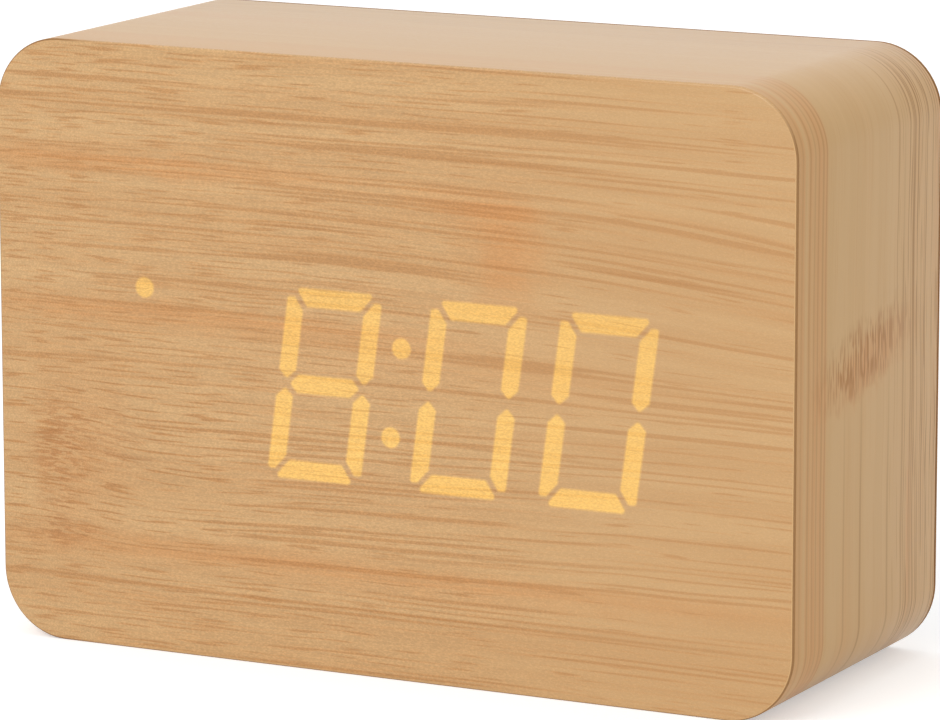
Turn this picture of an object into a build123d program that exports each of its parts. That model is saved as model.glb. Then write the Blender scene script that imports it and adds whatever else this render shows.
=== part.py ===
# Digital desk clock in a wood-film case: a routed board block wrapped in film, a segment display
# that shines through the front film, and a plastic rear cover with the cells, the switches and
# the power inlet. X runs to the right, Y to the back and Z up, and the origin lies on the
# underside, at the middle of its width and depth. All sizes are in millimetres.
from build123d import *
import os
from math import radians, tan

os.makedirs("parts", exist_ok=True)

# Case
body_depth = 40.0
corner_radius = 8.0
film_thickness = 0.4
film_seam = 0.15
case_wall = 7.0
front_web = 4.0
pocket_radius = 12.0
side_room = 1.15
head_room = 2.6

# Fits that several pieces share
seat_gap = 0.15
slide_gap = 0.3
running_gap = 0.15
touch_gap = 0.05
cut_overrun = 1.0

# Display: the digits, their segments and the dots
display_x = 1.45
display_drop = 2.15
digit_width = 11.9
digit_height = 21.9
digit_pitch = 16.0
colon_pitch = 18.1
slant_angle = 7.8
segment_width = 2.1
segment_gap = 0.5
bar_tip_inset = 0.95
post_tip_drop = 1.05
post_tip_width = 0.9
dot_diameter = 2.3
colon_rise = 5.1
alarm_dot_left = 32.2
alarm_dot_rise = 9.4
shown_digits = (" ", "8", "0", "0")

# Light baffle behind the front film, and the board that carries the light chips
baffle_side_rim = 1.65
baffle_top_rim = 2.55
baffle_radius = 2.0
baffle_side_lip = 5.0
baffle_top_lip = 3.5
baffle_flange_thickness = 1.5
lens_thickness = 1.6
board_thickness = 1.6
chip_length = 1.6
chip_width = 0.8
chip_height = 0.6
display_screw_shank = 0.9
display_screw_head = 1.7
display_screw_head_height = 1.2
display_screw_bite = 2.6

# Rear cover
cover_margin = 5.0
cover_thickness = 2.0
cover_inset = 0.5
cover_edge = 0.3
cover_radius = 5.0
cover_screw_inset = 4.0
cover_screw_shank = 1.1
cover_screw_head = 2.1
cover_screw_length = 9.0
cover_screw_head_height = 1.0
screw_head_angle = 45.0
screw_hole_play = 0.2

# Cell bay, cells and contacts
cell_diameter = 10.5
cell_length = 44.5
cell_nub_diameter = 3.8
cell_nub_length = 1.0
cell_count = 3
cell_gap = 0.35
cell_depth_play = 0.25
bay_end_room = 4.5
bay_wall = 2.0
bay_floor_room = 0.8
contact_thickness = 0.3
contact_width = 7.0
contact_boss_diameter = 3.0
contact_boss_height = 0.6
spring_width = 4.0
spring_chord = 7.0
saddle_width = 3.0
saddle_height = 3.2

# Cell door
door_thickness = 1.6
door_gap = 0.3
door_ledge = 1.6
door_radius = 2.0
door_tab_width = 6.0
door_tab_length = 1.2
door_tab_thickness = 0.7
door_tab_x = 15.0
door_tab_swing = 1.7
door_nub_length = 5.0
door_nub_height = 0.15
door_nub_width = 0.6
door_nub_x = 18.0
door_rib_count = 4
door_rib_pitch = 1.6
door_rib_length = 14.0
door_rib_width = 0.8
door_rib_height = 0.3
door_rib_rise = 3.2
nail_notch_width = 12.0
nail_notch_height = 1.8
nail_notch_depth = 1.2

# Buttons and their switches
button_labels = ("down", "up", "set")
button_pitch = 11.0
button_diameter = 6.0
button_edge = 0.35
button_flange_diameter = 7.6
button_flange_thickness = 0.8
button_travel = 0.5
button_proud = 0.3
button_well_depth = 0.8
button_well_margin = 2.0
switch_side = 6.0
switch_height = 3.5
plunger_diameter = 3.4
plunger_rise = 0.8
plunger_sunk = 1.0

# Main board and what it carries
main_board_height = 14.0
main_board_gap = 0.9
post_inset = 2.8
post_gap = 1.05
post_diameter = 3.8
board_screw_shank = 0.8
board_screw_head = 1.5
board_screw_head_height = 1.0
board_screw_bite = 4.0
socket_gap = 6.75
socket_width = 7.5
socket_height = 2.7
socket_chamfer = 0.8
socket_wall = 0.3
socket_length = 6.4
socket_base = 0.6
socket_tongue_width = 4.0
socket_tongue_height = 0.7
socket_tongue_short = 0.8
socket_clearance = 0.35
buzzer_gap = 2.75
buzzer_diameter = 9.5
buzzer_height = 4.2
buzzer_hole = 1.6
buzzer_hole_depth = 1.5
slot_count = 3
slot_pitch = 2.4
slot_length = 8.0
slot_width = 1.0
controller_gap = 3.3
controller_length = 12.8
controller_width = 7.4
controller_height = 2.2
controller_lead_count = 10
lead_pitch = 1.27
lead_width = 0.4
lead_reach = 1.3
lead_thickness = 0.25
chip_standoff = 0.1
crystal_gap = 4.6
crystal_diameter = 2.0
crystal_length = 6.0
capacitor_gap = 3.15
capacitor_pitch = 6.5
capacitor_diameter = 5.0
capacitor_height = 7.0
driver_x = 12.0
driver_length = 10.2
driver_width = 4.0
driver_height = 1.6
driver_lead_count = 8

# Ribbon between the boards, and the leads from the cells
ribbon_x = -4.0
ribbon_width = 12.7
ribbon_thickness = 0.9
ribbon_bend = 3.0
ribbon_plug_width = 14.5
ribbon_plug_height = 3.0
ribbon_plug_depth = 2.8
ribbon_plug_inset = 4.25
ribbon_board_inset = 3.0
lead_diameter = 1.3
lead_hole_play = 0.2
lead_stand_off = 1.8
lead_board_inset = 2.2

# The display's span sets the baffle's width, and the baffle's flange the width of the case
digits_reach = colon_pitch / 2 + digit_pitch + digit_width / 2
slant_reach = digit_height / 2 * tan(radians(slant_angle))
dot_reach = alarm_dot_left + dot_diameter / 2
baffle_width = 2 * (max(digits_reach + slant_reach, dot_reach) + baffle_side_rim)
baffle_height = digit_height + 2 * baffle_top_rim
baffle_flange_width = baffle_width + 2 * baffle_side_lip
baffle_flange_height = baffle_height + 2 * baffle_top_lip
display_screw_reach = (baffle_width + baffle_flange_width) / 4
pocket_width = baffle_flange_width + 2 * (abs(display_x) + side_room)
body_width = pocket_width + 2 * (case_wall + film_thickness)

# The stack of the cell bay and the main board sets the height of the case
bay_length = cell_length + bay_end_room
bay_height = cell_count * cell_diameter + (cell_count + 1) * cell_gap
bay_stack = bay_floor_room + bay_height + 2 * bay_wall
pocket_height = bay_stack + main_board_gap + main_board_height + head_room
body_height = pocket_height + 2 * (case_wall + film_thickness)
bay_bottom = film_thickness + case_wall + bay_floor_room + bay_wall
bay_middle = bay_bottom + bay_height / 2
main_board_bottom = bay_bottom + bay_height + bay_wall + main_board_gap
button_z = main_board_bottom + main_board_height / 2

# Places worked out from the sizes above
front_y = -body_depth / 2
rear_y = body_depth / 2
middle_z = body_height / 2
display_z = middle_z - display_drop
block_front = front_y + film_thickness
block_rear = rear_y - film_thickness
block_depth = block_rear - block_front
block_width = body_width - 2 * film_thickness
block_height = body_height - 2 * film_thickness
block_radius = corner_radius - film_thickness
web_rear = block_front + front_web
cover_width = body_width - 2 * cover_margin
cover_height = body_height - 2 * cover_margin
cover_rear = rear_y - cover_inset
cover_front = cover_rear - cover_thickness
rebate_width = cover_width + 2 * seat_gap
rebate_height = cover_height + 2 * seat_gap
rebate_radius = cover_radius + seat_gap
cover_screw_x = cover_width / 2 - cover_screw_inset
cover_screw_z = cover_height / 2 - cover_screw_inset

flange_rear = web_rear + baffle_flange_thickness
display_board_rear = flange_rear + board_thickness

door_width = bay_length + 2 * door_ledge
door_height = bay_height + 2 * door_ledge
door_front = cover_rear - door_thickness
door_bottom = bay_middle - door_height / 2
door_top = bay_middle + door_height / 2
cell_y = door_front - cell_depth_play - cell_diameter / 2
bay_front = cell_y - cell_diameter / 2 - cell_depth_play

plunger_top = cover_front - slide_gap - button_flange_thickness
main_board_rear = plunger_top - plunger_rise - switch_height
main_board_front = main_board_rear - board_thickness
button_length = cover_rear + button_proud - plunger_top
button_places = [(-button_pitch, button_z), (0, button_z), (button_pitch, button_z)]
button_well_height = button_diameter + 2 * button_well_margin
button_well_width = button_well_height + 2 * button_pitch
switches_reach = button_pitch + switch_side / 2
socket_x = switches_reach + socket_gap + socket_width / 2
buzzer_x = -switches_reach - buzzer_gap - buzzer_diameter / 2
post_x = socket_x + socket_width / 2 + post_gap + post_diameter / 2
main_board_width = 2 * (post_x + post_inset)
ribbon_display_z = display_z + baffle_flange_height / 2 - ribbon_plug_inset
ribbon_main_z = main_board_bottom + main_board_height - ribbon_board_inset
controller_x = ribbon_x + ribbon_plug_width / 2 + controller_gap + controller_length / 2
crystal_x = controller_x + controller_length / 2 + crystal_gap + crystal_diameter / 2
capacitor_x = ribbon_x - ribbon_plug_width / 2 - capacitor_gap - (capacitor_pitch + capacitor_diameter) / 2

hinge_y = door_front + door_thickness / 2
hinge_z = door_bottom + door_thickness / 2
tab_skin_front = door_front + door_tab_thickness + door_gap
tab_slot_front = door_front - door_tab_swing
tab_slot_bottom = door_bottom - door_tab_length - door_gap

cell_pitch = cell_diameter + cell_gap
cell_heights = [bay_bottom + cell_gap + cell_diameter / 2 + cell_pitch * k for k in range(cell_count)]
cell_sides = [1 if k % 2 == 0 else -1 for k in range(cell_count)]
nub_end_x = bay_length / 2 - contact_thickness - contact_boss_height
flat_end_x = nub_end_x - cell_length
plate_heights = {
    -1: [(cell_heights[0], cell_heights[0]), (cell_heights[1], cell_heights[2])],
    1: [(cell_heights[0], cell_heights[1]), (cell_heights[2], cell_heights[2])],
}
lead_y = main_board_front - lead_diameter / 2 - touch_gap
lead_starts = [(-1, cell_heights[0]), (1, cell_heights[-1])]

SEGMENTS_OF = {
    " ": "",
    "0": "abcdef",
    "1": "bc",
    "2": "abdeg",
    "3": "abcdg",
    "4": "bcfg",
    "5": "acdfg",
    "6": "acdefg",
    "7": "abc",
    "8": "abcdefg",
    "9": "abcdfg",
}
SEGMENT_NAMES = "abcdefg"


def upright(y):
    """The plane across the clock at depth y, drawn as seen from the front; it grows to the front."""
    return Plane.XZ.offset(-y)


def rear_facing(x, y, z):
    """A plane at one point that looks out of the back of the clock."""
    return Plane(origin=(x, y, z), x_dir=(1, 0, 0), z_dir=(0, 1, 0))


def digit_centres():
    """The places of the four digits across the front, left to right."""
    inner = colon_pitch / 2
    outer = inner + digit_pitch
    return [display_x - outer, display_x - inner, display_x + inner, display_x + outer]


def segment_points(name):
    """Corners of one segment of an upright digit about its own centre."""
    side = digit_width / 2
    top = digit_height / 2
    inner_side = side - segment_width
    inner_top = top - segment_width
    half = segment_width / 2
    bar = [
        (-side + bar_tip_inset, top),
        (side - bar_tip_inset, top),
        (inner_side - segment_gap, inner_top),
        (-inner_side + segment_gap, inner_top),
    ]
    post = [
        (side - post_tip_width, top - post_tip_drop),
        (side, top - post_tip_drop),
        (side, segment_gap + half),
        (side - half, segment_gap),
        (inner_side, segment_gap + half),
        (inner_side, inner_top - segment_gap),
    ]
    middle = [
        (side - half - segment_gap, 0),
        (inner_side - segment_gap, -half),
        (-inner_side + segment_gap, -half),
        (-side + half + segment_gap, 0),
        (-inner_side + segment_gap, half),
        (inner_side - segment_gap, half),
    ]
    shapes = {"a": (bar, 1, 1), "d": (bar, 1, -1), "g": (middle, 1, 1)}
    shapes |= {"b": (post, 1, 1), "c": (post, 1, -1), "f": (post, -1, 1), "e": (post, -1, -1)}
    points, flip_x, flip_z = shapes[name]
    return [(flip_x * u, flip_z * v) for u, v in points]


def segment_middle(name):
    """The middle of one segment of an upright digit about its own centre."""
    side = (digit_width - segment_width) / 2
    top = (digit_height - segment_width) / 2
    middles = {"a": (0, top), "b": (side, top / 2), "c": (side, -top / 2), "d": (0, -top)}
    middles |= {"e": (-side, -top / 2), "f": (-side, top / 2), "g": (0, 0)}
    return middles[name]


def lean(u, v, centre):
    """A point of an upright digit, leaned over and set at the digit's place on the front."""
    return centre + u + v * tan(radians(slant_angle)), display_z + v


def segment_face(name, centre):
    """The outline of one segment at its place on the front."""
    with BuildSketch() as face:
        with BuildLine():
            Polyline(*[lean(u, v, centre) for u, v in segment_points(name)], close=True)
        make_face()
    return face.sketch


def dot_places():
    """The alarm dot and the two dots of the colon."""
    alarm = (display_x - alarm_dot_left, display_z + alarm_dot_rise)
    return [alarm, lean(0, colon_rise, display_x), lean(0, -colon_rise, display_x)]


def lit_segments_of_time():
    """Each lit segment as its name and the centre of its digit."""
    lit = []
    for centre, shown in zip(digit_centres(), shown_digits):
        lit += [(name, centre) for name in SEGMENTS_OF[shown]]
    return lit


def every_segment():
    """Every segment of the display, lit or not."""
    return [(name, centre) for centre in digit_centres() for name in SEGMENT_NAMES]


def draw_lit_areas():
    """Draws what the display lights in the film, with round dots, into the sketch that is open."""
    for name, centre in lit_segments_of_time():
        add(segment_face(name, centre))
    with Locations(*dot_places()):
        Circle(dot_diameter / 2)


def draw_cells():
    """Draws the baffle's cells, square behind the dots, into the sketch that is open."""
    for name, centre in every_segment():
        add(segment_face(name, centre))
    with Locations(*dot_places()):
        Rectangle(dot_diameter, dot_diameter)


def draw_chip_leads(count, width):
    """Draws the flat feet of a chip, half of them on each long side."""
    with GridLocations(lead_pitch, width + lead_reach, count // 2, 2):
        Rectangle(lead_width, lead_reach)


def socket_outline(growth):
    """The mouth of the power inlet: a flat opening with two slanted lower corners."""
    half_width = socket_width / 2 + growth
    half_height = socket_height / 2 + growth
    with BuildSketch() as outline:
        with BuildLine():
            Polyline(
                (-half_width, half_height),
                (half_width, half_height),
                (half_width, socket_chamfer - half_height),
                (half_width - socket_chamfer, -half_height),
                (socket_chamfer - half_width, -half_height),
                (-half_width, socket_chamfer - half_height),
                close=True,
            )
        make_face()
    return outline.sketch


# Board block: routed from the back, with a window in its front web for the display
with BuildPart() as body_block:
    with BuildSketch(upright(block_rear)):
        with Locations((0, middle_z)):
            RectangleRounded(block_width, block_height, block_radius)
    extrude(amount=block_depth)
    with BuildSketch(upright(block_rear)):
        with Locations((0, middle_z)):
            RectangleRounded(rebate_width, rebate_height, rebate_radius)
    extrude(amount=block_rear - cover_front, mode=Mode.SUBTRACT)
    with BuildSketch(upright(cover_front)):
        with Locations((0, middle_z)):
            RectangleRounded(pocket_width, pocket_height, pocket_radius)
    extrude(amount=cover_front - web_rear, mode=Mode.SUBTRACT)
    with BuildSketch(upright(web_rear)):
        with Locations((display_x, display_z)):
            RectangleRounded(
                baffle_width + 2 * seat_gap, baffle_height + 2 * seat_gap, baffle_radius + seat_gap
            )
    extrude(amount=front_web + cut_overrun, mode=Mode.SUBTRACT)
    with BuildSketch(upright(web_rear)):
        with Locations((display_x, display_z)):
            with GridLocations(2 * display_screw_reach, baffle_height, 2, 1):
                Circle(display_screw_shank + touch_gap)
    extrude(amount=display_screw_bite + touch_gap, mode=Mode.SUBTRACT)
    with BuildSketch(upright(cover_front)):
        with Locations((0, middle_z)):
            with GridLocations(2 * cover_screw_x, 2 * cover_screw_z, 2, 2):
                Circle(cover_screw_shank + touch_gap)
    extrude(amount=cover_screw_length - cover_thickness + touch_gap, mode=Mode.SUBTRACT)
body_block.part.label = "body_block"
export_step(body_block.part, "parts/body_block.step")

# Film round the sides, laid on as one strip whose ends meet in a seam under the clock
with BuildPart() as wrap_film:
    with BuildSketch(upright(block_rear)):
        with Locations((0, middle_z)):
            RectangleRounded(body_width, body_height, corner_radius)
            RectangleRounded(block_width, block_height, block_radius, mode=Mode.SUBTRACT)
        Rectangle(film_seam, 2 * film_thickness, mode=Mode.SUBTRACT)
    extrude(amount=block_depth)
wrap_film.part.label = "wrap_film"
export_step(wrap_film.part, "parts/wrap_film.step")

# Front film, with the areas that the display lights left out of it
with BuildPart() as front_film:
    with BuildSketch(upright(block_front)):
        with Locations((0, middle_z)):
            RectangleRounded(body_width, body_height, corner_radius)
    extrude(amount=film_thickness)
    with BuildSketch(upright(block_front)):
        draw_lit_areas()
    extrude(amount=film_thickness, mode=Mode.SUBTRACT)
front_film.part.label = "front_film"
export_step(front_film.part, "parts/front_film.step")

# The lit areas of the front film: the time, the colon and the alarm dot
with BuildPart() as lit_segments:
    with BuildSketch(upright(block_front)):
        draw_lit_areas()
    extrude(amount=film_thickness)
lit_segments.part.label = "lit_segments"
export_step(lit_segments.part, "parts/lit_segments.step")

# Rear film, a frame round the rear cover
with BuildPart() as rear_film:
    with BuildSketch(upright(rear_y)):
        with Locations((0, middle_z)):
            RectangleRounded(body_width, body_height, corner_radius)
            RectangleRounded(rebate_width, rebate_height, rebate_radius, mode=Mode.SUBTRACT)
    extrude(amount=film_thickness)
rear_film.part.label = "rear_film"
export_step(rear_film.part, "parts/rear_film.step")

# Light baffle: a nose with one cell for each segment and dot, and a flange behind the web
with BuildPart() as light_baffle:
    with BuildSketch(upright(flange_rear)):
        with Locations((display_x, display_z)):
            Rectangle(baffle_flange_width, baffle_flange_height)
    extrude(amount=baffle_flange_thickness)
    with BuildSketch(upright(web_rear)):
        with Locations((display_x, display_z)):
            RectangleRounded(baffle_width, baffle_height, baffle_radius)
    extrude(amount=front_web)
    with BuildSketch(upright(flange_rear)):
        draw_cells()
    extrude(amount=baffle_flange_thickness + front_web, mode=Mode.SUBTRACT)
    with BuildSketch(upright(flange_rear)):
        with Locations((display_x, display_z)):
            with GridLocations(2 * display_screw_reach, baffle_height, 2, 1):
                Circle(display_screw_shank + screw_hole_play)
    extrude(amount=baffle_flange_thickness, mode=Mode.SUBTRACT)
light_baffle.part.label = "light_baffle"
export_step(light_baffle.part, "parts/light_baffle.step")

# Clear lenses that fill the front of each cell
with BuildPart() as segment_lenses:
    with BuildSketch(upright(block_front + lens_thickness)) as lens_outlines:
        draw_cells()
    extrude(amount=lens_thickness)
segment_lenses.part.label = "segment_lenses"
export_step(segment_lenses.part, "parts/segment_lenses.step")

# Board behind the baffle
with BuildPart() as display_board:
    with BuildSketch(upright(display_board_rear)):
        with Locations((display_x, display_z)):
            Rectangle(baffle_flange_width, baffle_flange_height)
            with GridLocations(2 * display_screw_reach, baffle_height, 2, 1):
                Circle(display_screw_shank + screw_hole_play, mode=Mode.SUBTRACT)
    extrude(amount=board_thickness)
display_board.part.label = "display_board"
export_step(display_board.part, "parts/display_board.step")

# One light chip for each segment and dot, at the back of its cell
with BuildPart() as light_chips:
    with BuildSketch(upright(flange_rear)):
        for name, centre in every_segment():
            u, v = segment_middle(name)
            with Locations(lean(u, v, centre)):
                if u:
                    Rectangle(chip_width, chip_length)
                else:
                    Rectangle(chip_length, chip_width)
        with Locations(*dot_places()):
            Rectangle(chip_length, chip_width)
    extrude(amount=chip_height)
light_chips.part.label = "light_chips"
export_step(light_chips.part, "parts/light_chips.step")

# Driver chip on the back of the display board
with BuildPart() as display_driver:
    with BuildSketch(rear_facing(display_x + driver_x, display_board_rear, display_z)):
        draw_chip_leads(driver_lead_count, driver_width)
    extrude(amount=lead_thickness)
    with BuildSketch(rear_facing(display_x + driver_x, display_board_rear + chip_standoff, display_z)):
        Rectangle(driver_length, driver_width)
    extrude(amount=driver_height)
display_driver.part.label = "display_driver"
export_step(display_driver.part, "parts/display_driver.step")

# Screws that hold the display board and the baffle to the web
with BuildPart() as display_screws:
    with BuildSketch(upright(display_board_rear)) as display_shanks:
        with Locations((display_x, display_z)):
            with GridLocations(2 * display_screw_reach, baffle_height, 2, 1):
                Circle(display_screw_shank)
    extrude(amount=board_thickness + baffle_flange_thickness + display_screw_bite)
    with BuildSketch(upright(display_board_rear + display_screw_head_height)) as display_heads:
        with Locations((display_x, display_z)):
            with GridLocations(2 * display_screw_reach, baffle_height, 2, 1):
                Circle(display_screw_head)
    extrude(amount=display_screw_head_height)
display_screws.part.label = "display_screws"
export_step(display_screws.part, "parts/display_screws.step")

# Rear cover: plate, cell bay, posts for the main board, button well and openings
with BuildPart() as rear_cover:
    with BuildSketch(upright(cover_rear)):
        with Locations((0, middle_z)):
            RectangleRounded(cover_width, cover_height, cover_radius)
    extrude(amount=cover_thickness)
    chamfer(rear_cover.faces().sort_by(Axis.Y)[-1].edges(), cover_edge)
    with BuildSketch(upright(cover_front)):
        with Locations((0, bay_middle)):
            Rectangle(bay_length + 2 * bay_wall, bay_height + 2 * bay_wall)
    extrude(amount=cover_front - bay_front + bay_wall)
    with BuildSketch(upright(cover_front)):
        with Locations((-post_x, button_z), (post_x, button_z)):
            Circle(post_diameter / 2)
    extrude(amount=cover_front - main_board_rear)
    with BuildSketch(upright(cover_rear)):
        with Locations((0, bay_middle)):
            Rectangle(door_width + 2 * door_gap, door_height + 2 * door_gap)
    extrude(amount=door_thickness + door_gap, mode=Mode.SUBTRACT)
    with BuildSketch(upright(cover_rear)):
        with Locations((0, bay_middle)):
            Rectangle(bay_length, bay_height)
    extrude(amount=cover_rear - bay_front, mode=Mode.SUBTRACT)
    with BuildSketch(upright(bay_front + saddle_height)):
        with Locations((0, bay_middle)):
            with GridLocations(bay_length / 2, bay_height, 2, 1):
                Rectangle(saddle_width, bay_height)
    extrude(amount=saddle_height)
    with BuildSketch(Plane.YZ.offset(-bay_length / 2)):
        with Locations(*[(cell_y, z) for z in cell_heights]):
            Circle(cell_diameter / 2 + touch_gap)
    extrude(amount=bay_length, mode=Mode.SUBTRACT)
    with BuildSketch(upright(tab_skin_front)):
        with Locations((0, (tab_slot_bottom + bay_bottom) / 2)):
            with GridLocations(2 * door_tab_x, door_tab_length, 2, 1):
                Rectangle(door_tab_width + 2 * door_gap, bay_bottom - tab_slot_bottom)
    extrude(amount=tab_skin_front - tab_slot_front, mode=Mode.SUBTRACT)
    with BuildSketch(upright(cover_rear)):
        with Locations((0, door_top + door_gap + nail_notch_height / 2)):
            SlotOverall(nail_notch_width, nail_notch_height)
            Rectangle(nail_notch_width, nail_notch_height / 2, align=(Align.CENTER, Align.MAX))
    extrude(amount=nail_notch_depth, mode=Mode.SUBTRACT)
    with BuildSketch(upright(cover_rear)):
        with Locations((0, button_z)):
            SlotOverall(button_well_width, button_well_height)
    extrude(amount=button_well_depth, mode=Mode.SUBTRACT)
    with BuildSketch(upright(cover_rear)):
        with Locations(*button_places):
            Circle(button_diameter / 2 + slide_gap)
    extrude(amount=cover_thickness, mode=Mode.SUBTRACT)
    with BuildSketch(upright(cover_rear)):
        with Locations((socket_x, button_z)):
            add(socket_outline(socket_clearance))
    extrude(amount=cover_thickness, mode=Mode.SUBTRACT)
    with BuildSketch(upright(cover_rear)):
        with Locations((buzzer_x, button_z)):
            with GridLocations(slot_length, slot_pitch, 1, slot_count):
                Rectangle(slot_length, slot_width)
    extrude(amount=cover_thickness, mode=Mode.SUBTRACT)
    with BuildSketch(upright(main_board_rear)):
        with Locations((-post_x, button_z), (post_x, button_z)):
            Circle(board_screw_shank + touch_gap)
    extrude(amount=-board_screw_bite - touch_gap, mode=Mode.SUBTRACT)
    with BuildSketch(upright(cover_rear)):
        with Locations((0, middle_z)):
            with GridLocations(2 * cover_screw_x, 2 * cover_screw_z, 2, 2):
                Circle(cover_screw_shank + screw_hole_play)
    extrude(amount=cover_thickness, mode=Mode.SUBTRACT)
    with BuildSketch(upright(cover_rear)):
        with Locations((0, middle_z)):
            with GridLocations(2 * cover_screw_x, 2 * cover_screw_z, 2, 2):
                Circle(cover_screw_head + touch_gap)
    extrude(amount=cover_screw_head_height, taper=screw_head_angle, mode=Mode.SUBTRACT)
    for side, height in lead_starts:
        with BuildSketch(Plane.YZ.offset(side * (bay_length / 2 + bay_wall / 2))):
            with Locations((lead_y, height)):
                Rectangle(lead_diameter + 2 * lead_hole_play, lead_diameter + 2 * lead_hole_play)
        extrude(amount=bay_wall / 2 + touch_gap, both=True, mode=Mode.SUBTRACT)
rear_cover.part.label = "rear_cover"
export_step(rear_cover.part, "parts/rear_cover.step")

# Countersunk screws that hold the rear cover
with BuildPart() as cover_screws:
    with BuildSketch(upright(cover_rear)) as cover_shanks:
        with Locations((0, middle_z)):
            with GridLocations(2 * cover_screw_x, 2 * cover_screw_z, 2, 2):
                Circle(cover_screw_shank)
    extrude(amount=cover_screw_length)
    with BuildSketch(upright(cover_rear)) as cover_heads:
        with Locations((0, middle_z)):
            with GridLocations(2 * cover_screw_x, 2 * cover_screw_z, 2, 2):
                Circle(cover_screw_head)
    extrude(amount=cover_screw_head_height, taper=screw_head_angle)
cover_screws.part.label = "cover_screws"
export_step(cover_screws.part, "parts/cover_screws.step")

# Buttons, each with the plunger that it presses into its switch
for label, (x, z) in zip(button_labels, button_places):
    with BuildPart() as button:
        with BuildSketch(rear_facing(x, plunger_top, z)):
            Circle(button_flange_diameter / 2)
        extrude(amount=button_flange_thickness)
        with BuildSketch(rear_facing(x, plunger_top, z)):
            Circle(button_diameter / 2)
        extrude(amount=button_length)
        rim = button.edges().filter_by(GeomType.CIRCLE).sort_by(Axis.Y)[-1]
        chamfer(rim, button_edge)
    button.part.label = label + "_button"
    export_step(button.part, "parts/" + label + "_button.step")

    with BuildPart() as plunger:
        with BuildSketch(rear_facing(x, plunger_top - plunger_rise - plunger_sunk, z)):
            Circle(plunger_diameter / 2)
        extrude(amount=plunger_rise + plunger_sunk)
    plunger.part.label = label + "_plunger"
    export_step(plunger.part, "parts/" + label + "_plunger.step")

# Switch housings on the main board
with BuildPart() as tact_switches:
    with BuildSketch(upright(main_board_rear + switch_height)):
        with Locations(*button_places):
            Rectangle(switch_side, switch_side)
    extrude(amount=switch_height)
    with BuildSketch(upright(main_board_rear + switch_height)):
        with Locations(*button_places):
            Circle(plunger_diameter / 2 + running_gap)
    extrude(amount=plunger_sunk + button_travel + slide_gap, mode=Mode.SUBTRACT)
tact_switches.part.label = "tact_switches"
export_step(tact_switches.part, "parts/tact_switches.step")

# Main board, screwed to the posts of the rear cover
with BuildPart() as main_board:
    with BuildSketch(upright(main_board_rear)):
        with Locations((0, button_z)):
            Rectangle(main_board_width, main_board_height)
        with Locations((-post_x, button_z), (post_x, button_z)):
            Circle(board_screw_shank + screw_hole_play, mode=Mode.SUBTRACT)
    extrude(amount=board_thickness)
main_board.part.label = "main_board"
export_step(main_board.part, "parts/main_board.step")

with BuildPart() as board_screws:
    with BuildSketch(upright(main_board_rear + board_screw_bite)):
        with Locations((-post_x, button_z), (post_x, button_z)):
            Circle(board_screw_shank)
    extrude(amount=board_screw_bite + board_thickness)
    with BuildSketch(upright(main_board_front)):
        with Locations((-post_x, button_z), (post_x, button_z)):
            Circle(board_screw_head)
    extrude(amount=board_screw_head_height)
board_screws.part.label = "board_screws"
export_step(board_screws.part, "parts/board_screws.step")

# Power inlet that faces out of the rear cover
with BuildPart() as power_socket:
    with BuildSketch(upright(main_board_rear + socket_length)):
        with Locations((socket_x, button_z)):
            add(socket_outline(0))
    extrude(amount=socket_length)
    with BuildSketch(upright(main_board_rear + socket_length)):
        with Locations((socket_x, button_z)):
            add(socket_outline(-socket_wall))
    extrude(amount=socket_length - socket_base, mode=Mode.SUBTRACT)
    with BuildSketch(upright(main_board_rear + socket_length - socket_tongue_short)):
        with Locations((socket_x, button_z)):
            Rectangle(socket_tongue_width, socket_tongue_height)
    extrude(amount=socket_length - socket_tongue_short)
power_socket.part.label = "power_socket"
export_step(power_socket.part, "parts/power_socket.step")

# Buzzer for the alarm, behind the slots of the rear cover
with BuildPart() as buzzer:
    with BuildSketch(rear_facing(buzzer_x, main_board_rear, button_z)):
        Circle(buzzer_diameter / 2)
    extrude(amount=buzzer_height)
    with BuildSketch(upright(main_board_rear + buzzer_height)):
        with Locations((buzzer_x, button_z)):
            Circle(buzzer_hole / 2)
    extrude(amount=buzzer_hole_depth, mode=Mode.SUBTRACT)
buzzer.part.label = "buzzer"
export_step(buzzer.part, "parts/buzzer.step")

# Controller, crystal and capacitors on the front of the main board
with BuildPart() as controller:
    with BuildSketch(upright(main_board_front)):
        with Locations((controller_x, button_z)):
            draw_chip_leads(controller_lead_count, controller_width)
    extrude(amount=lead_thickness)
    with BuildSketch(upright(main_board_front - chip_standoff)):
        with Locations((controller_x, button_z)):
            Rectangle(controller_length, controller_width)
    extrude(amount=controller_height)
controller.part.label = "controller"
export_step(controller.part, "parts/controller.step")

with BuildPart() as crystal_can:
    with BuildSketch(Plane.XY.offset(button_z - crystal_length / 2)):
        with Locations((crystal_x, main_board_front - crystal_diameter / 2)):
            Circle(crystal_diameter / 2)
    extrude(amount=crystal_length)
crystal_can.part.label = "crystal_can"
export_step(crystal_can.part, "parts/crystal_can.step")

with BuildPart() as capacitors:
    with BuildSketch(upright(main_board_front)):
        with Locations((capacitor_x, button_z)):
            with GridLocations(capacitor_pitch, capacitor_diameter, 2, 1):
                Circle(capacitor_diameter / 2)
    extrude(amount=capacitor_height)
capacitors.part.label = "capacitors"
export_step(capacitors.part, "parts/capacitors.step")

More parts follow.
